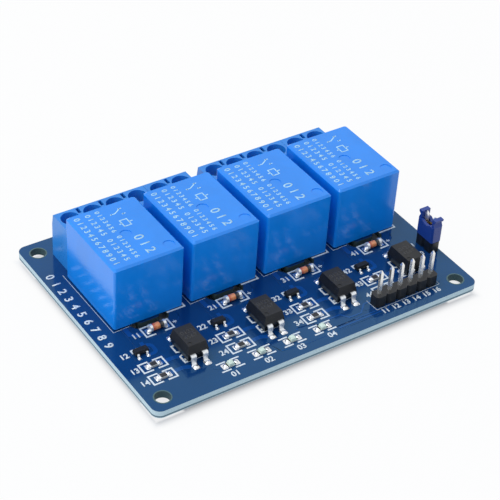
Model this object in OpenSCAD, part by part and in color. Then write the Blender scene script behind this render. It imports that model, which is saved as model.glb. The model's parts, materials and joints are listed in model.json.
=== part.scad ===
// Relay module board with four channels: relays and screw terminals along the back edge,
// and along the front edge the small parts, the input header and the jumper.
// Millimetres, +Z up, +X along the row of relays, +Y from the signal side to the terminals.
// The origin is below the middle of the board, level with the tips of the leads.

/* [Board] */
// Length of the circuit board, along the row of relays
board_l = 75; // [75:0.5:90]
// Width of the circuit board, from the signal edge to the terminal edge
board_w = 55; // [55:0.5:65]
// Thickness of the circuit board
board_t = 1.6; // [1:0.1:2.4]
// Radius of the board's corners
corner_r = 1.8; // [0.5:0.1:3]
// Diameter of a mounting hole
mount_hole_d = 3.1; // [2.5:0.1:3.4]
// Centre of a mounting hole to each of the two board edges beside it
mount_inset = 3.3; // [2.9:0.1:3.8]
// Length of every lead below the board
lead_drop = 1.6; // [1.3:0.1:2.5]
// Width of the isolation slot round a relay's common pin
iso_slot_w = 1.9; // [1:0.1:2]
// Half of the isolation slot's overall width
iso_slot_half = 4.25; // [4:0.05:4.3]
// Gap between the isolation slot and the diode in front of it
iso_slot_gap = 0.275; // [0.2:0.025:0.5]
// Length of the isolation slot that lies under the relay
iso_slot_in = 7.5; // [6:0.1:9]
// Outer radius of the isolation slot's two front corners
iso_slot_r = 2.6; // [2.2:0.1:3.4]

/* [Soldering] */
// Solder round a lead where the joint meets the board
joint_reach = 0.45; // [0.3:0.05:0.5]
// Solder round a lead at the tip of the joint
joint_skin = 0.08; // [0.05:0.01:0.15]
// Height of a solder joint
joint_h = 1; // [0.6:0.05:1.2]
// Gap round a lead in its hole in the board
lead_hole_gap = 0.12; // [0.05:0.01:0.2]

/* [Relays] */
// Distance from one relay to the next
relay_pitch = 17.12; // [16.6:0.02:17.3]
// Distance of the row's middle from the board's middle
relay_shift = 0.45; // [0:0.05:0.6]
// Length of a relay case along the row
case_l = 15.2; // [15:0.05:15.6]
// Depth of a relay case, from its front to the terminals
case_w = 18.95; // [18.9:0.05:19.2]
// Height of the top of a relay above the board
relay_top = 14.55; // [14.4:0.05:15.5]
// Wall of a relay case
case_wall = 0.8; // [0.6:0.05:0.9]
// Thickness of the top of a relay case
case_top_t = 0.9; // [0.6:0.05:1]
// Radius of the upright edges of a relay case
case_edge_r = 0.5; // [0.2:0.05:0.7]
// Bevel round the top of a relay case
case_bevel = 0.4; // [0.15:0.05:0.55]
// Gap between a relay case and the board
case_gap = 0.25; // [0.15:0.05:0.4]
// Diameter of the two round marks sunk into a relay's top
dimple_d = 2.4; // [1.6:0.1:2.8]
// Depth of those marks
dimple_deep = 0.12; // [0.05:0.01:0.2]
// Two sides of the case to the centre of the mark in its corner
dimple_inset = 2.15; // [1.9:0.05:2.6]
// Middle of the case to the centre of the other mark
dimple_shift = 0.55; // [0:0.05:1]
// Thickness of a relay's base plate
base_t = 1.4; // [1.2:0.05:1.6]
// Height of a relay's feet, which stand on the board
foot_h = 0.5; // [0.45:0.05:0.6]
// Diameter of a relay's feet
foot_d = 1; // [0.8:0.1:1.2]
// Gap between the base plate and the inside of the case
base_gap = 0.08; // [0.05:0.01:0.15]

/* [Relay pins] */
// Distance between the two coil pins, and between the two contact pins
pin_span = 12; // [11.9:0.05:12.1]
// Back of the case to the row of contact pins
contact_inset = 2.3; // [2.1:0.05:2.5]
// Distance from the common pin to the row of coil pins
com_step = 2; // [1.8:0.05:2.1]
// Front of the case to the common pin
com_y = 2.45; // [2.4:0.01:2.6]
// Width of a contact pin
flat_pin_w = 0.8; // [0.6:0.05:0.9]
// Thickness of a contact pin
flat_pin_t = 0.5; // [0.4:0.05:0.6]
// Width of a square coil pin
coil_pin_w = 0.6; // [0.5:0.05:0.7]

/* [Relay coil and frame] */
// Thickness of the iron yoke
yoke_t = 1; // [0.8:0.05:1.1]
// Width of the yoke and of the armature
yoke_w = 9; // [8:0.1:9.4]
// Front of the case to the front of the yoke
yoke_y = 2; // [1.8:0.05:2.1]
// Front of the case to the coil's axis
coil_y = 8.6; // [8.5:0.05:8.8]
// Height of the pole face above the board
pole_z = 9.7; // [9.5:0.05:9.8]
// Diameter of the iron core
core_d = 3.4; // [3:0.1:3.6]
// Diameter of the pole face
pole_d = 5.6; // [5:0.1:6]
// Thickness of the pole face
pole_t = 0.5; // [0.4:0.05:0.6]
// Thickness of a bobbin flange
flange_t = 0.6; // [0.5:0.05:0.8]
// Side of a square bobbin flange
flange_l = 10.4; // [10:0.1:10.6]
// Length of the two ears on the lower flange, which hold the coil pins
ear_l = 1.4; // [1.2:0.1:1.6]
// Wall of an ear outside its coil pin
ear_wall = 0.3; // [0.2:0.05:0.35]
// Wall of the bobbin's tube
tube_wall = 0.5; // [0.4:0.05:0.7]
// Diameter of the winding
winding_d = 9.6; // [8:0.1:9.9]
// Gap between the core and the bobbin
core_gap = 0.05; // [0.02:0.01:0.1]

/* [Relay armature and contacts] */
// Thickness of the armature
armature_t = 1; // [0.8:0.05:1.1]
// Length of the armature ahead of its hinge line
armature_nose = 0.7; // [0.4:0.05:0.8]
// Length of the armature from its hinge line to its free end
armature_reach = 10; // [9.5:0.1:10.6]
// Angle at which the armature stands open at rest
open_deg = 4; // [3.5:0.1:4.2]
// Air left between the armature and the pole when it lies flat
pole_gap = 0.08; // [0.06:0.01:0.12]
// Thickness of the moving blade and of the fixed blades
blade_t = 0.25; // [0.15:0.05:0.3]
// Width of the moving blade
blade_w = 4; // [3:0.1:5]
// Diameter of a contact button
button_d = 2; // [1.6:0.1:2.4]
// Thickness of a contact button
button_t = 0.4; // [0.3:0.05:0.45]
// Row of contact pins to the middle of the contacts
contact_step = 0.65; // [0.5:0.05:0.8]
// Air left between two contact buttons at the end of the travel
contact_gap = 0.06; // [0.04:0.01:0.1]

/* [Terminal blocks] */
// Distance from one way to the next
way_pitch = 5.08; // [5:0.01:5.1]
// Depth of a housing, from the relays to its wire side
block_w = 7.5; // [7.5:0.05:8]
// Height of a housing
block_h = 10; // [9.6:0.1:11]
// Height at which the wire side starts to lean in
lean_z = 7.6; // [6.5:0.1:8]
// How far the wire side leans in at the top
lean = 0.4; // [0.2:0.05:0.6]
// Back edge of the board to the wire side of the blocks
block_back = 5; // [4.6:0.1:6]
// Gap between the relays and the terminal blocks
block_gap = 0.2; // [0.1:0.05:0.4]
// Gap between the two groups of blocks
group_gap = 3.05; // [2.5:0.05:3.4]
// Distance of the blocks' middle from the board's middle
block_shift = 0.3; // [0:0.05:0.6]
// Gap between a 4-way block and the 2-way block beside it
block_joint = 0.06; // [0.04:0.01:0.1]
// Front of a housing to the screws' centres
screw_y = 4.5; // [4.4:0.02:4.6]
// Diameter of a screw well
well_d = 4; // [3.9:0.05:4.2]
// Width of the chamber inside a way
chamber_w = 3.9; // [3.85:0.05:4]
// Height of the chamber inside a way
chamber_h = 5; // [4.9:0.05:5.4]
// Front wall of a chamber
front_wall = 2.3; // [2:0.05:2.4]
// Back wall of a chamber, which has the wire window
back_wall = 0.8; // [0.7:0.05:0.85]
// Width of a wire window
window_w = 3.4; // [3:0.05:3.5]
// Height of the lower edge of a wire window
window_z = 1.2; // [1.1:0.05:1.4]
// Height of a wire window
window_h = 3.2; // [2.8:0.05:3.4]
// Bevel above and below a wire window
window_bevel = 0.5; // [0.2:0.05:0.6]
// Width of the slot in the top between two ways
top_slot_w = 0.7; // [0.4:0.05:0.8]
// Length of the slot in the top between two ways
top_slot_l = 1.6; // [1:0.1:1.8]
// Depth of the slot in the top between two ways
top_slot_deep = 3; // [1:0.1:3.5]
// Distance of that slot from the wire side
top_slot_inset = 0.7; // [0.65:0.05:0.9]
// Width of the groove between two ways on the wire side
groove_w = 0.5; // [0.3:0.05:0.7]
// Depth of the groove between two ways on the wire side
groove_deep = 0.3; // [0.1:0.05:0.4]

/* [Terminal clamps] */
// Diameter of a clamp screw's shank
shank_d = 2.5; // [2.3:0.05:2.6]
// Radial running clearance between a shank and its contact frame
shank_gap = 0.05; // [0.02:0.01:0.1]
// Diameter of a screw head
head_d = 3.7; // [3.5:0.05:3.75]
// Height of a screw head
head_h = 1.6; // [1.2:0.05:1.8]
// Bevel of a screw's head and tip
head_bevel = 0.25; // [0.1:0.05:0.3]
// Width of the screwdriver slot
driver_w = 0.6; // [0.4:0.05:0.8]
// Depth of the screwdriver slot
driver_deep = 0.8; // [0.5:0.05:1]
// Air between a fully lowered head and its contact frame
head_gap = 0.3; // [0.2:0.05:0.4]
// Gap between a contact frame and the chamber, on each side
frame_gap = 0.05; // [0.03:0.01:0.08]
// Length of a contact frame, front to back
frame_l = 4; // [3.8:0.05:4.1]
// Height of a contact frame above the board
frame_z = 0.9; // [0.8:0.05:0.95]
// Outer height of a contact frame
frame_h = 4; // [3.9:0.05:4.05]
// Side and bottom wall of a contact frame
frame_wall = 0.4; // [0.3:0.05:0.45]
// Top wall of a contact frame, which holds the thread
thread_wall = 1; // [0.9:0.05:1.1]
// Width of a terminal's solder pin
term_pin_w = 1; // [0.8:0.05:1.1]
// Thickness of a terminal's solder pin
term_pin_t = 0.7; // [0.5:0.05:0.9]
// Thickness of a pressure plate
plate_t = 0.4; // [0.3:0.05:0.45]
// Gap between a pressure plate and the frame's side walls
plate_side_gap = 0.15; // [0.1:0.01:0.25]
// Gap between a fully lowered pressure plate and the frame's bottom
plate_rest_gap = 0.2; // [0.1:0.05:0.25]
// Length of a pressure plate
plate_l = 3.6; // [3:0.1:3.8]
// Diameter of a screw's tip
tip_d = 1.5; // [1.2:0.05:1.8]
// Depth of the round seat for the tip in a pressure plate
seat_deep = 0.1; // [0.05:0.01:0.15]
// Gap between a screw's tip and its pressure plate
tip_gap = 0.02; // [0.01:0.01:0.05]

/* [Pin headers] */
// Distance between two header pins
pin_pitch = 2.54; // [2.5:0.01:2.56]
// Width of a square header pin
pin_w = 0.64; // [0.5:0.02:0.7]
// Length of a pin's pointed end
pin_point = 0.5; // [0.3:0.05:0.8]
// Height of the tips of the pins above the board
pin_top = 8.1; // [7.8:0.05:8.3]
// Width and height of a header's plastic base
header_base = 2.5; // [2.4:0.01:2.54]
// Bevel at the corners of each segment of a base
header_bevel = 0.45; // [0.2:0.05:0.6]
// Number of pins in the input header
input_pins = 6;
// Right edge of the board to the last input pin
input_edge = 8.8; // [8.6:0.1:9.4]
// Input header to the front edge of the board
header_edge_gap = 3.8; // [3.6:0.05:4]
// Right edge of the board to the jumper pins
jumper_edge = 1.5; // [1.4:0.05:1.8]
// Relays to the middle of the jumper header
jumper_y = 8.55; // [8:0.05:9.5]

/* [Jumper cap] */
// Width of the jumper cap, across its two pins
cap_w = 2.5; // [2.3:0.02:2.54]
// Length of the jumper cap, along its two pins
cap_l = 5; // [4.9:0.02:5.08]
// Height of the cap's side walls
cap_h = 3.8; // [3.6:0.05:4.2]
// Height of the two end tabs above the side walls
tab_h = 1.8; // [1:0.1:1.9]
// Thickness of an end tab
tab_t = 0.85; // [0.6:0.05:0.9]
// Width of an end tab
tab_w = 2.1; // [1.8:0.05:2.2]
// How far an end tab draws in at its neck
tab_neck = 0.4; // [0.2:0.05:0.5]
// How far the lip of an end tab stands out past the cap
tab_lip = 0.1; // [0:0.05:0.2]
// Radius of the cap's upright edges
cap_edge_r = 0.4; // [0.2:0.05:0.6]
// Depth of the hollow in the top of each side wall
scoop_deep = 0.5; // [0.2:0.05:0.6]
// Radius of that hollow
scoop_r = 1.6; // [1.3:0.05:1.6]
// Wall of the cap
cap_wall = 0.45; // [0.35:0.05:0.5]
// Height of the solid rim above the clip, which keeps it in
cap_rim = 0.7; // [0.4:0.05:0.9]
// Width of the opening in the top of the cap
cap_open = 1.1; // [1:0.02:1.2]
// Gap between the base of the header and the cap
cap_gap = 0.05; // [0.03:0.01:0.1]
// Thickness of the metal clip
clip_t = 0.2; // [0.15:0.01:0.25]
// Gap between the clip's two springs and the pins
clip_gap = 0.04; // [0.03:0.01:0.06]

/* [Optocouplers] */
// Distance of an optocoupler from its relay's middle line
opto_x = 1.8; // [1.7:0.05:2]
// Diodes to the tips of the optocouplers' back leads
diode_opto_gap = 2.575; // [2.4:0.025:2.8]
// Tips of the optocouplers' front leads to the input header
opto_header_gap = 0.4; // [0.3:0.05:0.6]
// Width of an optocoupler body
opto_w = 4.58; // [4.4:0.02:4.8]
// Length of an optocoupler body
opto_l = 6.5; // [6.3:0.05:6.6]
// Height of the top of an optocoupler above the board
opto_top = 3.95; // [3.8:0.05:4.2]
// Gap below an optocoupler
opto_gap = 0.3; // [0.2:0.05:0.4]
// Height of the seam of an optocoupler body above the board
opto_seam = 2; // [1.8:0.05:2.2]
// Draft of an optocoupler's sides at its top and bottom
opto_draft = 0.4; // [0.1:0.02:0.5]
// Diameter of the round mark beside an optocoupler's first lead
dot_d = 0.9; // [0.6:0.1:1.2]
// Depth of that mark
dot_deep = 0.08; // [0.04:0.01:0.15]
// Side and end of an optocoupler body to the centre of its mark
dot_inset = 0.98; // [0.9:0.02:1.2]
// Distance between the two rows of leads, where they stand upright
opto_rows = 7.62; // [7.5:0.02:7.7]
// Overall length from lead tip to lead tip
opto_span = 10; // [9.8:0.05:10.1]
// Width of an optocoupler lead at its shoulder
opto_lead_w = 1.1; // [1:0.05:1.3]
// Width of an optocoupler lead at its foot
opto_foot_w = 0.9; // [0.5:0.05:1]
// Thickness of an optocoupler lead
opto_lead_t = 0.25; // [0.2:0.01:0.3]
// Radius of the bends in an optocoupler lead, at the middle of its thickness
opto_bend = 0.4; // [0.2:0.05:0.5]

/* [Transistors] */
// Distance of a transistor from its relay's middle line, to the left
trans_x = 6.4; // [6.2:0.05:6.6]
// Relays to the transistors
relay_trans_gap = 6.55; // [6.3:0.05:6.8]
// Length of a transistor body
trans_l = 2.9; // [2.8:0.05:3]
// Width of a transistor body
trans_w = 1.3; // [1.2:0.05:1.4]
// Height of the top of a transistor above the board
trans_top = 1.15; // [1:0.05:1.2]
// Gap below a transistor
trans_gap = 0.08; // [0.05:0.01:0.15]
// Draft of a transistor's sides
trans_draft = 0.12; // [0.05:0.01:0.18]
// Distance between the two front leads
trans_lead_pitch = 1.9; // [1.8:0.05:2]
// Overall width over the leads
trans_span = 2.5; // [2.4:0.05:2.6]
// Width of a transistor lead
trans_lead_w = 0.42; // [0.35:0.01:0.5]
// Thickness of a transistor lead
trans_lead_t = 0.15; // [0.1:0.01:0.18]
// Radius of the bends in a transistor lead, at the middle of its thickness
trans_bend = 0.15; // [0.1:0.01:0.18]

/* [Diodes] */
// Distance of a diode from its relay's middle line, to the left
diode_x = 0.15; // [0:0.05:0.4]
// Relays to the diodes
relay_diode_gap = 2.525; // [2.4:0.025:2.7]
// Length of a diode over its end caps
diode_l = 3.5; // [3.3:0.05:3.7]
// Diameter of a diode's glass
diode_d = 1.4; // [1.2:0.05:1.5]
// Diameter of a diode's end caps
diode_cap_d = 1.55; // [1.5:0.05:1.7]
// Length of a diode's end cap
diode_cap_l = 0.55; // [0.4:0.05:0.7]

/* [Resistors] */
// Distance of the resistors from their relay's middle line, to the left
res_x = 6.05; // [5.8:0.05:6.2]
// Transistors to the resistors in front of them
trans_res_gap = 2.175; // [2:0.025:2.4]
// Gap between a channel's two resistors
res_gap = 2.35; // [2.2:0.05:2.5]
// Length of a resistor
res_l = 2; // [1.6:0.05:2.2]
// Width of a resistor
res_w = 1.25; // [0.8:0.05:1.3]
// Height of a resistor
res_h = 0.5; // [0.4:0.05:0.6]
// Length of a resistor's end terminal
res_end = 0.35; // [0.2:0.05:0.45]

/* [Indicator lights] */
// Left edge of the board to the first indicator
led_x = 18.7; // [18:0.1:19]
// Distance between two indicators
led_pitch = 7; // [6.8:0.05:7.2]
// Resistors to the indicators
res_led_gap = 2.2; // [2:0.05:2.4]
// Indicators to the front edge of the board
led_edge_gap = 3.825; // [3.6:0.025:4]
// Length of an indicator
led_l = 2; // [1.8:0.05:2.1]
// Width of an indicator
led_w = 1.25; // [1:0.05:1.3]
// Thickness of an indicator's carrier
led_base_t = 0.35; // [0.3:0.01:0.45]
// Height of an indicator's lens above its carrier
led_lens_h = 0.5; // [0.3:0.05:0.7]
// Slope of the two ends of an indicator's lens
lens_draft = 0.15; // [0.05:0.01:0.25]
// Length of an indicator's lens
led_lens_l = 1.3; // [1:0.05:1.4]

/* [Hidden] */
$fn = 48;
channels = 4;
ways = 12;
// Ways in each of the four terminal blocks, left to right
block_ways = [4, 2, 4, 2];
group_ways = block_ways[0] + block_ways[1];
eps = 0.01;

// Height of the board's top face; every part above the board is drawn from it
board_top = lead_drop + board_t;

// Places on the board, counted from its middle
block_y = board_w/2 - block_back - block_w;
relay_y = block_y - block_gap - case_w;
group_l = group_ways*way_pitch + block_joint;
input_x = board_l/2 - input_edge;
jumper_x = board_l/2 - jumper_edge;

// Middle line of relay i, and of everything in its channel
function channel_x(i) = relay_shift + (i - 1 - (channels - 1)/2)*relay_pitch;
// Left end of terminal block b
function block_x(b) = block_shift
    + (b > 2 ? group_gap/2 : -group_gap/2 - group_l)
    + (b % 2 == 0 ? block_ways[0]*way_pitch + block_joint : 0);
// Middle of way w, which is way k of its block
function way_x(w) =
    let (
        g = w > group_ways ? 1 : 0, k = w - g*group_ways,
        second = k > block_ways[0], b = 2*g + (second ? 2 : 1)
    )
    block_x(b) + (k - (second ? block_ways[0] : 0) - 0.5)*way_pitch;

// The small parts stand in two columns between the relays and the front edge. Their gaps
// stretch together when that depth changes: column gives how far from the relays the middle
// of part k lies, from the depths of the column's parts and the gaps before, between and after
control_w = relay_y + board_w/2;
function sum(v, n) = n == 0 ? 0 : v[n - 1] + sum(v, n - 1);
function column(parts, gaps, k) =
    let (stretch = (control_w - sum(parts, len(parts)))/sum(gaps, len(gaps)))
    sum(gaps, k + 1)*stretch + sum(parts, k) + parts[k]/2;
right_parts = [diode_cap_d, opto_span, header_base];
right_gaps = [relay_diode_gap, diode_opto_gap, opto_header_gap, header_edge_gap];
diode_y = column(right_parts, right_gaps, 0);
opto_y = column(right_parts, right_gaps, 1);
input_y = column(right_parts, right_gaps, 2);
left_parts = [trans_span, res_w, res_w, led_w];
left_gaps = [relay_trans_gap, trans_res_gap, res_gap, res_led_gap, led_edge_gap];
trans_y = column(left_parts, left_gaps, 0);
res_ys = [for (k = [1, 2]) column(left_parts, left_gaps, k)];
led_y = column(left_parts, left_gaps, 3);
iso_slot_out = diode_y - diode_cap_d/2 - iso_slot_gap;

// Heights and depths inside a relay
base_top = foot_h + base_t;
coil_z = base_top + yoke_t;
coil_top = pole_z - pole_t;
tube_d = core_d + 2*core_gap + 2*tube_wall;
case_in = relay_top - case_top_t;
hinge_y = yoke_y + yoke_t/2;
hinge_z = pole_z + pole_gap;
coil_pin_y = com_y + com_step;
contact_pin_y = case_w - contact_inset;
contact_y = contact_pin_y - contact_step;
arm_w = button_d + 0.4;
no_top = hinge_z + armature_t - button_t - contact_gap;
nc_under = hinge_z + (contact_y - hinge_y + button_d/2)*sin(open_deg)
    + (armature_t + blade_t + button_t)*cos(open_deg) + contact_gap;

// Heights and widths inside a terminal way
frame_w = chamber_w - 2*frame_gap;
plate_z = frame_z + frame_wall + plate_rest_gap;
tip_z = plate_z + plate_t - seat_deep + tip_gap;
head_z = frame_z + frame_h + head_gap;

// Every lead through the board: its place, its width along X and its depth along Y
relay_leads = [
    [0, com_y, flat_pin_w, flat_pin_t],
    for (s = [-1, 1]) [s*pin_span/2, coil_pin_y, coil_pin_w, coil_pin_w],
    for (s = [-1, 1]) [s*pin_span/2, contact_pin_y, flat_pin_w, flat_pin_t]
];
leads = [
    for (i = [1:channels], l = relay_leads) [channel_x(i) + l[0], relay_y + l[1], l[2], l[3]],
    for (w = [1:ways]) [way_x(w), block_y + screw_y, term_pin_w, term_pin_t],
    for (k = [0:input_pins - 1]) [input_x - k*pin_pitch, relay_y - input_y, pin_w, pin_w],
    for (s = [-1, 1]) [jumper_x, relay_y - jumper_y + s*pin_pitch/2, pin_w, pin_w]
];
function lead_r(l) = sqrt(l[2]*l[2] + l[3]*l[3])/2;

// Colours
board_blue = [0.06, 0.24, 0.47];
relay_blue = [0.09, 0.36, 0.82];
jumper_blue = [0.12, 0.2, 0.6];
black = [0.1, 0.1, 0.11];
tin = [0.8, 0.8, 0.78];
brass = [0.8, 0.65, 0.35];
copper = [0.72, 0.4, 0.22];
iron = [0.5, 0.5, 0.52];

// ---- Shared shapes ----

// Puts a channel's parts at its relay's middle line and front, on the board
module in_channel(i) translate([channel_x(i), relay_y, board_top]) children();

// Puts a terminal way's parts at its middle line and the front of its housing
module in_way(w) translate([way_x(w), block_y, board_top]) children();

// A box centred in X, from y0 to y1 and z0 to z1
module bar(w, y0, y1, z0, z1) translate([-w/2, y0, z0]) cube([w, y1 - y0, z1 - z0]);

// A box centred in X and Y
module post(w, d, z0, z1) bar(w, -d/2, d/2, z0, z1);

// An outline in Y and Z, extruded to the width w about the middle line
module side_profile(w, outline)
    translate([-w/2, 0, 0]) rotate([90, 0, 90]) linear_extrude(w) polygon(outline);

// An outline in X and Z, extruded to the depth d about the middle line
module front_profile(d, outline)
    translate([0, d/2, 0]) rotate([90, 0, 0]) linear_extrude(d) polygon(outline);

// A rectangle with round corners, centred
module round_rect(l, w, r) {
    square([l - 2*r, w], center = true);
    square([l, w - 2*r], center = true);
    for (x = [-1, 1], y = [-1, 1]) translate([x*(l/2 - r), y*(w/2 - r)]) circle(r);
}

// Outline of a moulded body that is widest in a narrow band at its seam
function drafted(half, z0, seam, z1, band, draft) = [
    [-half + draft, z0], [half - draft, z0], [half, seam - band/2], [half, seam + band/2],
    [half - draft, z1], [-half + draft, z1], [-half, seam + band/2], [-half, seam - band/2]
];

// A moulded body, drafted on all four sides
module moulded_body(w, l, z0, seam, z1, band, draft) intersection() {
    front_profile(l, drafted(w/2, z0, seam, z1, band, draft));
    side_profile(w, drafted(l/2, z0, seam, z1, band, draft));
}

// Points on an arc of radius r about c, from the angle a to the angle b
function arc(c, r, a, b, n = 4) =
    [for (k = [0:n]) c + r*[cos(a + (b - a)*k/n), sin(a + (b - a)*k/n)]];

// Side outline of a lead that leaves a body at y_in, bends down at y_drop and out to its foot
function gull_wing(y_in, y_drop, y_tip, z, t, r) = let (
    knee = [y_drop - r, z - r],
    heel = [y_drop + r, r + t/2]
) concat(
    [[y_in, z + t/2]], arc(knee, r + t/2, 90, 0), arc(heel, r - t/2, 180, 270),
    [[y_tip, t], [y_tip, 0]],
    arc(heel, r + t/2, 270, 180), arc(knee, r - t/2, 0, 90), [[y_in, z - t/2]]
);

// ---- Board and solder ----

// A shape that is square at the back and round at its two front corners
module front_rounded(half, y0, y1, r) {
    translate([-half, y0 + r]) square([2*half, y1 - y0 - r]);
    translate([r - half, y0]) square([2*(half - r), r + eps]);
    for (s = [-1, 1]) translate([s*(half - r), y0 + r]) circle(r);
}

// The U-shaped slot round a relay's common pin, seen from above
module iso_slot() {
    difference() {
        front_rounded(iso_slot_half, -iso_slot_out, iso_slot_in, iso_slot_r);
        front_rounded(iso_slot_half - iso_slot_w, iso_slot_w - iso_slot_out,
            iso_slot_in + 1, iso_slot_r - iso_slot_w);
    }
    for (s = [-1, 1])
        translate([s*(iso_slot_half - iso_slot_w/2), iso_slot_in]) circle(d = iso_slot_w);
}

module circuit_board()
    color(board_blue)
    translate([0, 0, lead_drop]) linear_extrude(board_t) difference() {
        round_rect(board_l, board_w, corner_r);
        for (x = [-1, 1], y = [-1, 1])
            translate([x*(board_l/2 - mount_inset), y*(board_w/2 - mount_inset)])
                circle(d = mount_hole_d);
        for (i = [1:channels]) translate([channel_x(i), relay_y]) iso_slot();
        for (l = leads) translate([l[0], l[1]]) circle(lead_r(l) + lead_hole_gap);
    }

// A cone of solder round each lead, under the board
module solder_joints()
    color(tin)
    for (l = leads) translate([l[0], l[1], lead_drop - joint_h]) difference() {
        cylinder(h = joint_h, r1 = lead_r(l) + joint_skin, r2 = lead_r(l) + joint_reach);
        post(l[2], l[3], -eps, joint_h + eps);
    }

// ---- Relays ----

// The cover: an open box, upside down, with two round marks in its top
module relay_case(i)
    color(relay_blue)
    in_channel(i) translate([0, case_w/2, 0]) difference() {
        union() {
            translate([0, 0, case_gap]) linear_extrude(relay_top - case_bevel - case_gap)
                round_rect(case_l, case_w, case_edge_r);
            hull() for (s = [0, 1])
                translate([0, 0, relay_top - case_bevel - eps + s*case_bevel])
                    linear_extrude(eps)
                        round_rect(case_l - 2*s*case_bevel, case_w - 2*s*case_bevel, case_edge_r,
                            $fn = 32);
        }
        post(case_l - 2*case_wall, case_w - 2*case_wall, -eps, case_in);
        for (p = [[0, -dimple_shift], [case_l/2 - dimple_inset, dimple_inset - case_w/2]])
            translate([p[0], p[1], relay_top - dimple_deep])
                cylinder(h = dimple_deep + eps, d = dimple_d);
    }

// The plate that closes the case from below: it stands on four feet and holds the pins
module relay_bases()
    color(black)
    for (i = [1:channels]) in_channel(i) {
        difference() {
            bar(case_l - 2*case_wall - 2*base_gap, case_wall + base_gap,
                case_w - case_wall - base_gap, foot_h, base_top);
            for (l = relay_leads)
                translate([l[0], l[1], 0]) post(l[2], l[3], foot_h - eps, base_top + eps);
        }
        for (x = [-1, 1], y = [case_wall + base_gap + foot_d/2, (coil_pin_y + contact_pin_y)/2])
            translate([x*pin_span/2, y, 0]) cylinder(h = foot_h, d = foot_d);
    }

// The coil pins, held in the bobbin's ears, and the common pin under the yoke
module relay_pins()
    color(tin)
    for (i = [1:channels]) in_channel(i) {
        translate([0, com_y, 0]) post(flat_pin_w, flat_pin_t, -board_top, base_top);
        for (s = [-1, 1]) translate([s*pin_span/2, coil_pin_y, 0])
            post(coil_pin_w, coil_pin_w, -board_top, coil_z + 2*flange_t);
    }

// The iron angle that carries the coil and the armature
module relay_yokes()
    color(iron)
    for (i = [1:channels]) in_channel(i) {
        bar(yoke_w, yoke_y, yoke_y + yoke_t, base_top, pole_z);
        difference() {
            bar(yoke_w, yoke_y + yoke_t - eps, coil_y + flange_l/2 - yoke_t, base_top, coil_z);
            translate([0, coil_y, base_top - eps]) cylinder(h = yoke_t + 2*eps, d = core_d);
        }
    }

// The iron core, riveted into the yoke, with its wider pole face on top
module relay_cores()
    color(iron)
    for (i = [1:channels]) in_channel(i) translate([0, coil_y, 0]) {
        translate([0, 0, base_top]) cylinder(h = coil_top - base_top, d = core_d);
        translate([0, 0, coil_top]) cylinder(h = pole_t, d = pole_d);
    }

// The bobbin: two square flanges on a tube, with an ear for each coil pin
module relay_bobbins()
    color("ivory")
    for (i = [1:channels]) in_channel(i) difference() {
        union() {
            for (z = [coil_z, coil_top - flange_t])
                bar(flange_l, coil_y - flange_l/2, coil_y + flange_l/2, z, z + flange_t);
            bar(pin_span + coil_pin_w + 2*ear_wall, coil_pin_y - ear_l/2, coil_pin_y + ear_l/2,
                coil_z, coil_z + flange_t);
            translate([0, coil_y, coil_z]) cylinder(h = coil_top - coil_z, d = tube_d);
        }
        translate([0, coil_y, coil_z - eps])
            cylinder(h = coil_top - coil_z + 2*eps, d = core_d + 2*core_gap);
        for (s = [-1, 1]) translate([s*pin_span/2, coil_pin_y, 0])
            post(coil_pin_w, coil_pin_w, coil_z - eps, coil_z + flange_t + eps);
    }

// The copper winding between the flanges
module relay_windings()
    color(copper)
    for (i = [1:channels]) in_channel(i) translate([0, coil_y, coil_z + flange_t])
        difference() {
            cylinder(h = coil_top - coil_z - 2*flange_t, d = winding_d);
            translate([0, 0, -eps])
                cylinder(h = coil_top - coil_z - 2*flange_t + 2*eps, d = tube_d);
        }

// The armature with its contact blade, standing open on the yoke's edge
module relay_armature(i)
    color(iron)
    in_channel(i) translate([0, hinge_y, hinge_z]) rotate([open_deg, 0, 0]) {
        bar(yoke_w, -armature_nose, armature_reach, 0, armature_t);
        difference() {
            bar(blade_w, armature_nose, contact_y - hinge_y + button_d/2 + blade_t,
                armature_t, armature_t + blade_t);
            translate([0, contact_y - hinge_y, armature_t - eps])
                cylinder(h = blade_t + 2*eps, d = button_d/2);
        }
        translate([0, contact_y - hinge_y, armature_t]) {
            cylinder(h = blade_t, d = button_d/2);
            translate([0, 0, -button_t]) cylinder(h = button_t, d = button_d);
            translate([0, 0, blade_t]) cylinder(h = button_t, d = button_d);
        }
    }

// One fixed contact: its pin, its arm and its button. Side -1 closes with the coil on
// (normally open) and side 1 with the coil off (normally closed)
module fixed_contact(side, arm_z, button_z) {
    reach = (pin_span + arm_w)/2 + flat_pin_w/2;
    translate([side*pin_span/2, contact_pin_y, 0])
        post(flat_pin_w, flat_pin_t, -board_top, arm_z + eps);
    translate([side*(pin_span/2 + flat_pin_w/2 - reach/2), contact_y, 0])
        post(reach, arm_w, arm_z, arm_z + blade_t);
    translate([0, contact_y, button_z]) cylinder(h = button_t, d = button_d);
}

module relay_contacts()
    color(brass)
    for (i = [1:channels]) in_channel(i) {
        fixed_contact(-1, no_top - button_t - blade_t, no_top - button_t);
        fixed_contact(1, nc_under + button_t, nc_under);
    }

// ---- Terminal blocks ----

// What is cut from a housing for one way: chamber, screw well and bevelled wire window
module way_cut() {
    back = block_w - back_wall;
    bar(chamber_w, front_wall, back, -eps, chamber_h);
    translate([0, screw_y, chamber_h - eps])
        cylinder(h = block_h - chamber_h + 2*eps, d = well_d);
    bar(window_w, back - eps, block_w + eps, window_z, window_z + window_h);
    side_profile(window_w, [
        [block_w - window_bevel, window_z], [block_w + eps, window_z - window_bevel],
        [block_w + eps, window_z + window_h + window_bevel], [block_w - window_bevel, window_z + window_h]
    ]);
}

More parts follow.
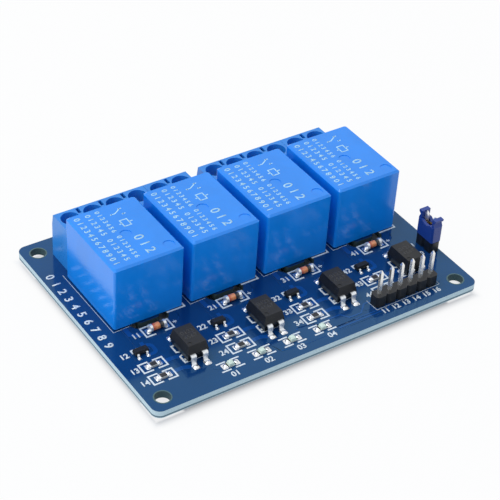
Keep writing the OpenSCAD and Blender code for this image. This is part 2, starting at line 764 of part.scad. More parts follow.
// What is cut from a housing between two ways: a slot in the top, a groove at the back
module between_cut() {
    bar(top_slot_w, block_w - top_slot_inset - top_slot_l, block_w - top_slot_inset,
        block_h - top_slot_deep, block_h + eps);
    bar(groove_w, block_w - groove_deep, block_w + eps, -eps, lean_z);
}

// A housing: one moulding, whatever its number of ways
module terminal_block(b) {
    n = block_ways[b - 1];
    color(relay_blue)
    translate([block_x(b), block_y, board_top]) difference() {
        translate([n*way_pitch/2, 0, 0]) side_profile(n*way_pitch, [
            [0, 0], [block_w, 0], [block_w, lean_z], [block_w - lean, block_h], [0, block_h]
        ]);
        for (k = [1:n]) translate([(k - 0.5)*way_pitch, 0, 0]) way_cut();
        for (k = [1:n - 1]) translate([k*way_pitch, 0, 0]) between_cut();
    }
}

// The contact frames: a box that is open to front and back, threaded on top, with its pin
module terminal_frames()
    color(tin)
    for (w = [1:ways]) in_way(w) translate([0, screw_y, 0]) {
        difference() {
            post(frame_w, frame_l, frame_z, frame_z + frame_h);
            post(frame_w - 2*frame_wall, frame_l + 2*eps,
                frame_z + frame_wall, frame_z + frame_h - thread_wall);
            translate([0, 0, frame_z + frame_h/2])
                cylinder(h = frame_h, d = shank_d + 2*shank_gap);
        }
        post(term_pin_w, term_pin_t, -board_top, frame_z + eps);
    }

// The plate that a screw presses onto the wire, shown fully lowered
module terminal_plate(w)
    color(brass)
    in_way(w) translate([0, screw_y, 0]) difference() {
        post(frame_w - 2*frame_wall - 2*plate_side_gap, plate_l, plate_z, plate_z + plate_t);
        translate([0, 0, plate_z + plate_t - seat_deep])
            cylinder(h = seat_deep + eps, d = tip_d + 2*shank_gap);
    }

// A clamp screw: a turned shank with a narrower tip, and a slotted head
module terminal_screw(w)
    color(tin)
    in_way(w) translate([0, screw_y, 0]) difference() {
        rotate_extrude() polygon([
            [0, tip_z], [tip_d/2, tip_z], [tip_d/2, tip_z + seat_deep + head_bevel],
            [shank_d/2, tip_z + seat_deep + 2*head_bevel], [shank_d/2, head_z],
            [head_d/2, head_z], [head_d/2, head_z + head_h - head_bevel],
            [head_d/2 - head_bevel, head_z + head_h], [0, head_z + head_h]
        ]);
        post(driver_w, head_d + 2*eps, head_z + head_h - driver_deep, head_z + head_h + eps);
    }

// ---- Pin headers and jumper ----

// Outline of a pin that is pointed at both ends
function pin_outline(z0, z1) = [
    [-pin_w/6, z0], [pin_w/6, z0], [pin_w/2, z0 + pin_point], [pin_w/2, z1 - pin_point],
    [pin_w/6, z1], [-pin_w/6, z1], [-pin_w/2, z1 - pin_point], [-pin_w/2, z0 + pin_point]
];

module header_pin() intersection() {
    front_profile(pin_w, pin_outline(-board_top, pin_top));
    side_profile(pin_w, pin_outline(-board_top, pin_top));
}

// The plastic base of a header with n pins, from the first pin towards -X
module header_row(n)
    linear_extrude(header_base)
    for (k = [0:n - 1]) translate([-k*pin_pitch, 0]) difference() {
        polygon([for (c = [[1, 1], [-1, 1], [-1, -1], [1, -1]], f = [0, 1])
            let (first = (c[0]*c[1] > 0) ? f : 1 - f) [
                c[0]*(pin_pitch/2 - (first == 1 ? header_bevel : 0)),
                c[1]*(header_base/2 - (first == 1 ? 0 : header_bevel))
            ]]);
        square(pin_w, center = true);
    }

// Puts parts at the last input pin, or at the jumper's pin nearest the relays
module at_input() translate([input_x, relay_y - input_y, board_top]) children();
module at_jumper()
    translate([jumper_x, relay_y - jumper_y, board_top]) rotate([0, 0, 90])
        translate([pin_pitch/2, 0, 0]) children();

module input_header_base()
    color(black) at_input() header_row(input_pins);

module input_header_pins()
    color(tin) at_input() for (k = [0:input_pins - 1]) translate([-k*pin_pitch, 0, 0]) header_pin();

module jumper_header_base()
    color(black) at_jumper() header_row(2);

module jumper_header_pins()
    color(tin) at_jumper() for (k = [0, 1]) translate([-k*pin_pitch, 0, 0]) header_pin();

// The jumper cap: a box open below, with a window and an outward-leaning tab at each end
// Side outline of an end tab: it draws in to a neck and ends in a lip
tab_outline = [
    [cap_l/2 - tab_t, cap_h - cap_rim], [cap_l/2 - tab_neck, cap_h - cap_rim],
    [cap_l/2, cap_h], [cap_l/2 - tab_neck, cap_h + tab_h/2],
    [cap_l/2 + tab_lip, cap_h + 3*tab_h/4], [cap_l/2 + tab_lip, cap_h + tab_h],
    [cap_l/2 - tab_t, cap_h + tab_h]
];

module jumper_cap()
    color(jumper_blue)
    translate([jumper_x, relay_y - jumper_y, board_top + header_base + cap_gap])
    difference() {
        union() {
            linear_extrude(cap_h) round_rect(cap_w, cap_l, cap_edge_r, $fn = 24);
            for (a = [0, 180]) rotate([0, 0, a]) side_profile(tab_w, tab_outline);
        }
        post(cap_w - 2*cap_wall, cap_l - 2*cap_wall, -eps, cap_h - cap_rim);
        post(cap_open, cap_l - 2*tab_t, 0, cap_h + tab_h + eps);
        translate([0, 0, cap_h - scoop_deep + scoop_r]) rotate([0, 90, 0])
            cylinder(h = cap_w + 2*eps, r = scoop_r, center = true);
    }

// The metal clip inside the cap: two springs beside the pins, joined at the ends
module jumper_clip()
    color(brass)
    translate([jumper_x, relay_y - jumper_y, board_top + header_base + cap_gap])
    difference() {
        in_w = pin_w + 2*clip_gap;
        union() {
            post(in_w + 2*clip_t, cap_l - 2*cap_wall, clip_t, cap_h - cap_rim);
            post(cap_w - 2*cap_wall, pin_w, cap_h/3, cap_h/2);
        }
        post(in_w, cap_l - 2*cap_wall - 2*clip_t, 0, cap_h);
    }

// ---- Small parts ----

module optocouplers()
    color(black)
    for (i = [1:channels]) in_channel(i) translate([opto_x, -opto_y, 0]) difference() {
        moulded_body(opto_w, opto_l, opto_gap, opto_seam, opto_top, opto_lead_t, opto_draft);
        translate([dot_inset - opto_w/2, dot_inset - opto_l/2, opto_top - dot_deep])
            cylinder(h = dot_deep + eps, d = dot_d);
    }

// Four leads on each optocoupler, wide at the shoulder and narrow below it
module optocoupler_leads()
    color(tin)
    for (i = [1:channels]) in_channel(i) translate([opto_x, -opto_y, 0])
    for (x = [-1, 1], a = [0, 180]) rotate([0, 0, a]) translate([x*pin_pitch/2, 0, 0])
        intersection() {
            side_profile(opto_lead_w,
                gull_wing(opto_l/2, opto_rows/2, opto_span/2, opto_seam, opto_lead_t,
                    opto_bend));
            front_profile(opto_span, [
                [-opto_foot_w/2, 0], [opto_foot_w/2, 0], [opto_foot_w/2, opto_seam/3],
                [opto_lead_w/2, opto_seam/2], [opto_lead_w/2, opto_top],
                [-opto_lead_w/2, opto_top], [-opto_lead_w/2, opto_seam/2],
                [-opto_foot_w/2, opto_seam/3]
            ]);
        }

module transistors()
    color(black)
    for (i = [1:channels]) in_channel(i) translate([-trans_x, -trans_y, 0])
        moulded_body(trans_l, trans_w, trans_gap, trans_top/2, trans_top, trans_lead_t,
            trans_draft);

module transistor_leads()
    color(tin)
    for (i = [1:channels]) in_channel(i) translate([-trans_x, -trans_y, 0])
    for (p = [[-trans_lead_pitch/2, 180], [trans_lead_pitch/2, 180], [0, 0]])
        translate([p[0], 0, 0]) rotate([0, 0, p[1]]) side_profile(trans_lead_w,
            gull_wing(trans_w/2, trans_w/2 + trans_bend + trans_lead_t/2, trans_span/2,
                trans_top/2, trans_lead_t, trans_bend));

// A length of round bar along X, lying on the board under a diode's end caps
module diode_bar(x, l, d)
    translate([x, 0, diode_cap_d/2]) rotate([0, 90, 0]) cylinder(h = l, d = d);

module diodes()
    color("orangered")
    for (i = [1:channels]) in_channel(i) translate([-diode_x, -diode_y, 0])
        diode_bar(diode_cap_l - diode_l/2, diode_l - 2*diode_cap_l, diode_d);

module diode_caps()
    color(tin)
    for (i = [1:channels], s = [0, 1]) in_channel(i) translate([-diode_x, -diode_y, 0])
        diode_bar(s*(diode_l - diode_cap_l) - diode_l/2, diode_cap_l, diode_cap_d);

module resistors()
    for (i = [1:channels], y = res_ys) in_channel(i) translate([-res_x, -y, 0]) {
        color(black) post(res_l - 2*res_end, res_w, 0, res_h);
        color(tin) for (s = [-1, 1]) translate([s*(res_l - res_end)/2, 0, 0])
            post(res_end, res_w, 0, res_h);
    }

module indicator_lights()
    for (k = [0:channels - 1])
    translate([led_x + k*led_pitch - board_l/2, relay_y - led_y, board_top]) {
        color("ivory") post(led_l, led_w, 0, led_base_t);
        color("white") translate([0, 0, led_base_t]) front_profile(led_w, [
            [-led_lens_l/2, 0], [led_lens_l/2, 0],
            [led_lens_l/2 - lens_draft, led_lens_h], [lens_draft - led_lens_l/2, led_lens_h]
        ]);
    }

circuit_board();
solder_joints();
for (i = [1:channels]) relay_case(i);
relay_bases();
relay_pins();
relay_yokes();
relay_cores();
relay_bobbins();
relay_windings();
relay_contacts();
for (i = [1:channels]) relay_armature(i);
for (b = [1:len(block_ways)])
    terminal_block(b);
terminal_frames();
for (w = [1:ways]) terminal_plate(w);
for (w = [1:ways]) terminal_screw(w);
input_header_base();
input_header_pins();
jumper_header_base();
jumper_header_pins();
jumper_cap();
jumper_clip();
optocouplers();
optocoupler_leads();
transistors();
transistor_leads();
diodes();
diode_caps();
resistors();
indicator_lights();
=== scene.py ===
"""Dresses a four-channel relay board.

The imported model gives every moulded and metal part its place. This script
finishes those parts, and adds what is laid on the bare board by the maker:
copper tracks under the blue mask, white print, solder, and the small parts
that are placed on the front of the board.
"""

import json
import logging
import math
from collections.abc import Callable, Sequence
from dataclasses import dataclass, field
from enum import Enum

import bmesh
import bpy
from mathutils import Euler, Matrix, Vector


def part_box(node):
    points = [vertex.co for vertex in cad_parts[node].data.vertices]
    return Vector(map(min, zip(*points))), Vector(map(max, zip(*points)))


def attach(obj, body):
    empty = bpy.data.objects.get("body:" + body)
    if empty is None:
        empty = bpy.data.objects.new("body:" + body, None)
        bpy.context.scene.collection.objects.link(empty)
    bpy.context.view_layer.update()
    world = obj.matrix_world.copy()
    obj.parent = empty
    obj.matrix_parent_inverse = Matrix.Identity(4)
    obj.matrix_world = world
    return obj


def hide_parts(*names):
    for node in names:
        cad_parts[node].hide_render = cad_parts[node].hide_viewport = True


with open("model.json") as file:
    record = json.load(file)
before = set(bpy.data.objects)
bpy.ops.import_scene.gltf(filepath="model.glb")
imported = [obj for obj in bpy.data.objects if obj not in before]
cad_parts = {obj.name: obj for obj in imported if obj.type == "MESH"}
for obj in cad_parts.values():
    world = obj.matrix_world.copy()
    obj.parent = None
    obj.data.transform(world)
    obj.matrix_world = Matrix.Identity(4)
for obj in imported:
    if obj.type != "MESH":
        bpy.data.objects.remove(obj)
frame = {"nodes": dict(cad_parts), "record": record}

LOG = logging.getLogger("relay_board")
MM = 0.001
Colour = tuple[float, float, float]
Point = tuple[float, float]
Place = Vector | tuple[float, float, float]
Material = bpy.types.Material


# ---- Shader nodes -------------------------------------------------------


class Socket:
    """One value, vector or colour that leaves a node.

    Numbers take part in ordinary sums, so that a finish can be written as
    an expression. Vectors and colours have methods of their own.
    """

    def __init__(self, shader: "Shader", port: bpy.types.NodeSocket) -> None:
        """Wraps a node's output.

        Args:
            shader: The material that the node belongs to.
            port: The output socket.
        """
        self.shader = shader
        self.port = port

    def _sum(self, operation: str, *values: "Socket | float") -> "Socket":
        """Adds a Math node.

        Args:
            operation: The Math node's operation.
            *values: Its inputs, in order.

        Returns:
            The node's result.
        """
        return self.shader.node(
            "ShaderNodeMath",
            {"operation": operation},
            dict(enumerate(values)),
        )

    def __add__(self, other: "Socket | float") -> "Socket":
        """This value plus another."""
        return self._sum("ADD", self, other)

    def __radd__(self, other: float) -> "Socket":
        """A number plus this value."""
        return self._sum("ADD", other, self)

    def __sub__(self, other: "Socket | float") -> "Socket":
        """This value less another."""
        return self._sum("SUBTRACT", self, other)

    def __rsub__(self, other: float) -> "Socket":
        """A number less this value."""
        return self._sum("SUBTRACT", other, self)

    def __mul__(self, other: "Socket | float") -> "Socket":
        """This value times another."""
        return self._sum("MULTIPLY", self, other)

    def __rmul__(self, other: float) -> "Socket":
        """A number times this value."""
        return self._sum("MULTIPLY", other, self)

    def __truediv__(self, other: "Socket | float") -> "Socket":
        """This value divided by another."""
        return self._sum("DIVIDE", self, other)

    def __gt__(self, other: "Socket | float") -> "Socket":
        """1 where this value is the greater, and 0 elsewhere."""
        return self._sum("GREATER_THAN", self, other)

    def __lt__(self, other: "Socket | float") -> "Socket":
        """1 where this value is the smaller, and 0 elsewhere."""
        return self._sum("LESS_THAN", self, other)

    def __abs__(self) -> "Socket":
        """This value without its sign."""
        return self._sum("ABSOLUTE", self)

    def wave(self) -> "Socket":
        """The sine of this value."""
        return self._sum("SINE", self)

    def either(self, other: "Socket | float") -> "Socket":
        """The greater of this value and another."""
        return self._sum("MAXIMUM", self, other)

    def both(self, other: "Socket | float") -> "Socket":
        """The smaller of this value and another."""
        return self._sum("MINIMUM", self, other)

    def spread(self, low: float, high: float) -> "Socket":
        """Stretches a span of values over 0 to 1.

        Args:
            low: The value that becomes 0.
            high: The value that becomes 1.

        Returns:
            The stretched value, held between 0 and 1.
        """
        return self.shader.node(
            "ShaderNodeMapRange",
            {"clamp": True, "interpolation_type": "SMOOTHSTEP"},
            {"Value": self, "From Min": low, "From Max": high},
        )

    def scaled(self, factor: float) -> "Socket":
        """This vector times a number."""
        return self.shader.node(
            "ShaderNodeVectorMath",
            {"operation": "SCALE"},
            {0: self, "Scale": factor},
        )

    def times(self, factors: Place) -> "Socket":
        """This vector with each part times its own factor."""
        return self.shader.node(
            "ShaderNodeVectorMath",
            {"operation": "MULTIPLY"},
            {0: self, 1: tuple(factors)},
        )

    def part(self, axis: str) -> "Socket":
        """One part of this vector, by its letter."""
        return self.shader.node(
            "ShaderNodeSeparateXYZ", {}, {0: self}, "XYZ".index(axis)
        )


class Shader:
    """The node tree of one material."""

    def __init__(
        self, name: str, tree: bpy.types.NodeTree | None = None
    ) -> None:
        """Starts an empty material.

        Args:
            name: The material's name.
            tree: The node tree to fill instead of a new material's.
        """
        if tree is None:
            self.material = bpy.data.materials.new(name)
            self.material.use_nodes = True
            tree = self.material.node_tree
        self.tree = tree
        self.tree.nodes.clear()

    def node(
        self,
        kind: str,
        settings: dict | None = None,
        inputs: dict | None = None,
        output: int | str = 0,
    ) -> Socket:
        """Adds one node.

        Args:
            kind: The node's type.
            settings: What the node is set to, such as its operation or, as
                "stops", a colour ramp's places and colours.
            inputs: Values or sockets for its inputs, by name or number.
            output: The output that is wanted, by name or number.

        Returns:
            That output.
        """
        made = self.tree.nodes.new(kind)
        for key, value in (settings or {}).items():
            if key == "stops":
                self._set_stops(made.color_ramp, value)
            else:
                setattr(made, key, value)
        for key, value in (inputs or {}).items():
            port = made.inputs[key]
            if isinstance(value, Socket):
                self.tree.links.new(value.port, port)
            elif hasattr(port.default_value, "__len__"):
                whole = tuple(value)
                missing = len(port.default_value) - len(whole)
                port.default_value = whole + (1.0,) * missing
            else:
                port.default_value = value
        return Socket(self, made.outputs[output]) if made.outputs else None

    @staticmethod
    def _set_stops(
        ramp: bpy.types.ColorRamp, stops: Sequence[tuple[float, Colour]]
    ) -> None:
        """Gives a colour ramp its stops.

        Args:
            ramp: The ramp.
            stops: Each stop's place and colour, in order.
        """
        while len(ramp.elements) < len(stops):
            ramp.elements.new(1.0)
        for element, (place, colour) in zip(ramp.elements, stops):
            element.position = place
            element.color = (*colour, 1.0)

    def seen(self) -> Socket:
        """1 for a ray from the camera, a mirror or glass, and 0 for light."""
        kinds = [
            self.node("ShaderNodeLightPath", output=name)
            for name in (
                "Is Camera Ray",
                "Is Glossy Ray",
                "Is Transmission Ray",
            )
        ]
        return kinds[0].either(kinds[1]).either(kinds[2])

    def spot(self) -> Socket:
        """The point on the piece, in millimetres."""
        return self.node("ShaderNodeTexCoord", output="Object").scaled(1 / MM)

    def facing(self, axis: str) -> Socket:
        """How far the surface faces along an axis, without its sign."""
        return abs(self.node("ShaderNodeTexCoord", output="Normal").part(axis))

    def cloud(self, spot: Socket, size: float, detail: float = 3) -> Socket:
        """Smooth random variation.

        Args:
            spot: The point, in millimetres.
            size: The rough size of a patch, in millimetres.
            detail: How many finer layers are added.

        Returns:
            A value near 0.5 that wanders between about 0.2 and 0.8.
        """
        return self.node(
            "ShaderNodeTexNoise",
            {},
            {"Vector": spot, "Scale": 1 / size, "Detail": detail},
        )

    def cells(self, spot: Socket, size: float) -> Socket:
        """Distance to the nearest of many scattered points, in cells."""
        return self.node(
            "ShaderNodeTexVoronoi", {}, {"Vector": spot, "Scale": 1 / size}
        )

    def blend(
        self, mask: Socket, low: Socket | Colour, high: Socket | Colour
    ) -> Socket:
        """Mixes two colours.

        Args:
            mask: 0 for the first colour and 1 for the second.
            low: The first colour.
            high: The second colour.

        Returns:
            The mixed colour.
        """
        return self.node(
            "ShaderNodeMix",
            {"data_type": "RGBA"},
            {0: mask, 6: low, 7: high},
            2,
        )

    def relief(self, height: Socket, depth: float) -> Socket:
        """A normal that shows small ups and downs.

        Args:
            height: The height, from 0 to 1.
            depth: What 1 stands for, in millimetres.

        Returns:
            The normal.
        """
        return self.node(
            "ShaderNodeBump",
            {},
            {"Height": height, "Distance": depth * MM, "Strength": 1.0},
        )

    def surface(self, **inputs: Socket | float | Colour) -> Material:
        """Ends the material in one Principled shader.

        Args:
            **inputs: The shader's inputs, with _ for each space.

        Returns:
            The finished material.
        """
        named = {key.replace("_", " "): value for key, value in inputs.items()}
        skin = self.node("ShaderNodeBsdfPrincipled", {}, named)
        self.node("ShaderNodeOutputMaterial", {}, {"Surface": skin})
        return self.material


# ---- Finishes -----------------------------------------------------------


@dataclass(frozen=True)
class MouldedPlastic:
    """Plastic from a steel mould: even, with a faint skin and flow marks."""

    name: str
    colour: Colour
    gloss: float = 0.3
    skin: float = 0.35
    skin_depth: float = 0.004
    mottle: float = 0.08
    index: float = 1.5
    specks: float = 0.0

    def material(self) -> Material:
        """Makes the material.

        Returns:
            The finished material.
        """
        shader = Shader(self.name)
        spot = shader.spot()
        flow = shader.cloud(spot.times((1, 1, 0.4)), 4.5)
        grain = shader.cloud(spot, self.skin, 2)
        dark = tuple(part * (1 - self.mottle) for part in self.colour)
        light = tuple(
            min(1.0, part * (1 + self.mottle) + 0.01 * self.mottle)
            for part in self.colour
        )
        colour = shader.blend(flow.spread(0.3, 0.7), dark, light)
        if self.specks:
            dust = shader.cells(spot, 0.45) < 0.09
            pale = tuple(
                0.6 * part + 0.4 * self.specks for part in self.colour
            )
            colour = shader.blend(dust, colour, pale)
        return shader.surface(
            Base_Color=colour,
            Roughness=self.gloss + 0.12 * (grain - 0.5) + 0.08 * (flow - 0.5),
            IOR=self.index,
            Normal=shader.relief(grain, self.skin_depth),
        )


@dataclass(frozen=True)
class SolderMask:
    """Blue mask over glass cloth, with the bare laminate at the edges and
    painted shade in a dark band low on its cut walls.
    """

    name: str
    colour: Colour = (0.004, 0.045, 0.17)
    deep: Colour = (0.003, 0.034, 0.14)
    laminate: Colour = (0.56, 0.68, 0.72)
    # Dark colour of the painted shade band low on the cut walls, also used for
    # the laminate's fibre streaks.
    seam: Colour = (0.13, 0.18, 0.22)
    milled: Colour = (0.05, 0.075, 0.08)
    half: Point = (37.5, 27.5)
    tint: Colour = (0.25, 0.8, 1.0)
    index: float = 1.6
    rim: float = 0.965
    top: float = 3.2
    thickness: float = 1.6
    weave: float = 0.42
    gloss: float = 0.12

    def material(self) -> Material:
        """Makes the material.

        Returns:
            The finished material.
        """
        shader = Shader(self.name)
        spot = shader.spot()
        warp = (spot.part("X") * (math.tau / self.weave)).wave()
        weft = (spot.part("Y") * (math.tau / self.weave)).wave()
        cloth = warp * weft * 0.5 + 0.5
        flow = shader.cloud(spot, 7.0)
        mask = shader.blend(
            (0.7 * flow + 0.3 * cloth).spread(0.25, 0.75),
            self.deep,
            self.colour,
        )
        depth = (self.top - spot.part("Z")) / self.thickness
        fibres = shader.cloud(spot.times((0.5, 0.5, 6.0)), 0.6)
        # Painted shade: a dark band low on each cut wall, where the edge falls
        # into shade; the fibre streaks added to it are the laminate's own
        # grain.
        shade_band_and_fibres = (abs(depth - 0.8) < 0.12) + 0.35 * fibres.spread(0.55, 0.75)
        outside = abs(spot.part("X") / self.half[0]).either(
            abs(spot.part("Y") / self.half[1])
        )
        cut = shader.blend(
            outside > self.rim,
            self.milled,
            shader.blend(shade_band_and_fibres, self.laminate, self.seam),
        )
        flat = shader.facing("Z").spread(0.4, 0.6)
        rough = self.gloss + 0.05 * (flow - 0.5)
        return shader.surface(
            Base_Color=shader.blend(flat, cut, mask),
            Roughness=rough + (1 - flat) * 0.45,
            IOR=self.index,
            Specular_Tint=(*self.tint, 1.0),
            Normal=shader.relief(cloth * flat + fibres * (1 - flat), 0.0012),
        )


@dataclass(frozen=True)
class PrintInk:
    """Screen-printed ink: matt, slightly uneven and thin at its edges."""

    name: str
    colour: Colour
    gloss: float = 0.45

    def material(self) -> Material:
        """Makes the material.

        Returns:
            The finished material.
        """
        shader = Shader(self.name)
        spot = shader.spot()
        patchy = shader.cloud(spot, 0.35)
        thin = tuple(part * 0.78 for part in self.colour)
        return shader.surface(
            Base_Color=shader.blend(
                patchy.spread(0.3, 0.6), thin, self.colour
            ),
            Roughness=self.gloss + 0.2 * (patchy - 0.5),
            Normal=shader.relief(patchy, 0.004),
        )


@dataclass(frozen=True)
class PlatedMetal:
    """Metal with a plated or rolled skin and fine drawing marks."""

    name: str
    colour: Colour
    gloss: float = 0.28
    drawn_along: str = "Z"
    stain: Colour = (0.3, 0.27, 0.24)
    stained: float = 0.35
    metallic: float = 1.0
    marks: float = 0.9

    def material(self) -> Material:
        """Makes the material.

        Returns:
            The finished material.
        """
        shader = Shader(self.name)
        spot = shader.spot()
        stretch = [5.0, 5.0, 5.0]
        stretch["XYZ".index(self.drawn_along)] = 0.6
        marks = shader.cloud(spot.times(stretch), self.marks)
        dull = shader.cloud(spot, 1.3).spread(0.48, 0.78)
        return shader.surface(
            Base_Color=shader.blend(
                dull * self.stained, self.colour, self.stain
            ),
            Metallic=self.metallic,
            Roughness=self.gloss + 0.18 * (marks - 0.5) + 0.15 * dull,
            Normal=shader.relief(marks, 0.0012),
        )


@dataclass(frozen=True)
class SolderFinish:
    """Solder that has set: bright, softly rippled, frosted in patches."""

    name: str
    colour: Colour = (0.86, 0.88, 0.9)
    gloss: float = 0.2

    def material(self) -> Material:
        """Makes the material.

        Returns:
            The finished material.
        """
        shader = Shader(self.name)
        spot = shader.spot()
        ripple = shader.cloud(spot, 0.5, 4)
        frost = shader.cells(spot, 0.16)
        dull = tuple(part * 0.8 for part in self.colour)
        return shader.surface(
            Base_Color=shader.blend(
                ripple.spread(0.35, 0.7), self.colour, dull
            ),
            Metallic=1.0,
            Roughness=self.gloss + 0.2 * (ripple - 0.4) + 0.08 * frost,
            Normal=shader.relief(0.8 * ripple + 0.2 * frost, 0.006),
        )


@dataclass(frozen=True)
class WoundWire:
    """Enamelled wire, wound turn beside turn along one axis, with painted
    shade in the grooves between turns.
    """

    name: str
    colour: Colour = (0.62, 0.2, 0.06)
    # Colour of the painted shade in the grooves between turns.
    groove: Colour = (0.16, 0.03, 0.01)
    pitch: float = 0.14
    along: str = "Z"

    def material(self) -> Material:
        """Makes the material.

        Returns:
            The finished material.
        """
        shader = Shader(self.name)
        spot = shader.spot()
        turn = (spot.part(self.along) * (math.tau / self.pitch)).wave()
        height = turn * 0.5 + 0.5
        stray = shader.cloud(spot.times((1, 1, 5)), 1.2)
        # Painted shade: the colour darkens into the groove between each pair
        # of turns.
        lit = shader.blend(
            height * stray.spread(0.1, 0.5), self.groove, self.colour
        )
        return shader.surface(
            Base_Color=lit,
            Metallic=0.75,
            Roughness=0.26 + 0.2 * (stray - 0.5),
            Normal=shader.relief(height, 0.03),
        )


@dataclass(frozen=True)
class TintedGlass:
    """A glass bead with a painted glow brightening its middle, and a painted
    band at one end.
    """

    name: str
    centres: tuple[float, ...]
    half_length: float
    colour: Colour = (0.62, 0.1, 0.035)
    # Colour of the painted highlight in the middle of each bead.
    core: Colour = (0.95, 0.33, 0.12)
    band: Colour = (0.012, 0.012, 0.016)
    core_share: float = 0.55
    band_span: Point = (0.45, 0.8)

    def material(self) -> Material:
        """Makes the material.

        Returns:
            The finished material.
        """
        shader = Shader(self.name)
        spot = shader.spot()
        across = spot.part("X")
        off = abs(across - self.centres[0])
        side = across - self.centres[0]
        for centre in self.centres[1:]:
            near = abs(across - centre) < off
            side = side * (1 - near) + (across - centre) * near
            off = off.both(abs(across - centre))
        smoke = shader.cloud(spot, 0.5)
        # Painted highlight: the glass turns a brighter orange towards the
        # middle of each bead.
        core = (self.half_length * self.core_share - off).spread(0, 0.6)
        glass = shader.blend(
            core * smoke.spread(0.2, 0.55), self.colour, self.core
        )
        start, end = (self.half_length * share for share in self.band_span)
        band = (side > start) * (side < end)
        return shader.surface(
            Base_Color=shader.blend(band, glass, self.band),
            Roughness=0.08 + 0.1 * (smoke - 0.5),
            Coat_Weight=1.0,
            Coat_Roughness=0.03,
            Normal=shader.relief(smoke, 0.006),
        )


@dataclass(frozen=True)
class Ceramic:
    """Fired ceramic or cured epoxy: chalky, with a fine tooth."""

    name: str
    colour: Colour
    gloss: float = 0.5
    coat: float = 0.0

    def material(self) -> Material:
        """Makes the material.

        Returns:
            The finished material.
        """
        shader = Shader(self.name)
        spot = shader.spot()
        tooth = shader.cloud(spot, 0.12)
        tone = shader.cloud(spot, 0.6)
        dark = tuple(part * 0.82 for part in self.colour)
        return shader.surface(
            Base_Color=shader.blend(tone.spread(0.3, 0.7), dark, self.colour),
            Roughness=self.gloss + 0.15 * (tooth - 0.5),
            Coat_Weight=self.coat,
            Coat_Roughness=0.08,
            Normal=shader.relief(tooth, 0.004),
        )


# ---- The bench ----------------------------------------------------------


class Axis(Enum):
    """The way that a round shape points."""

    X = Euler((0, math.pi / 2, 0))
    Z = Euler((0, 0, 0))


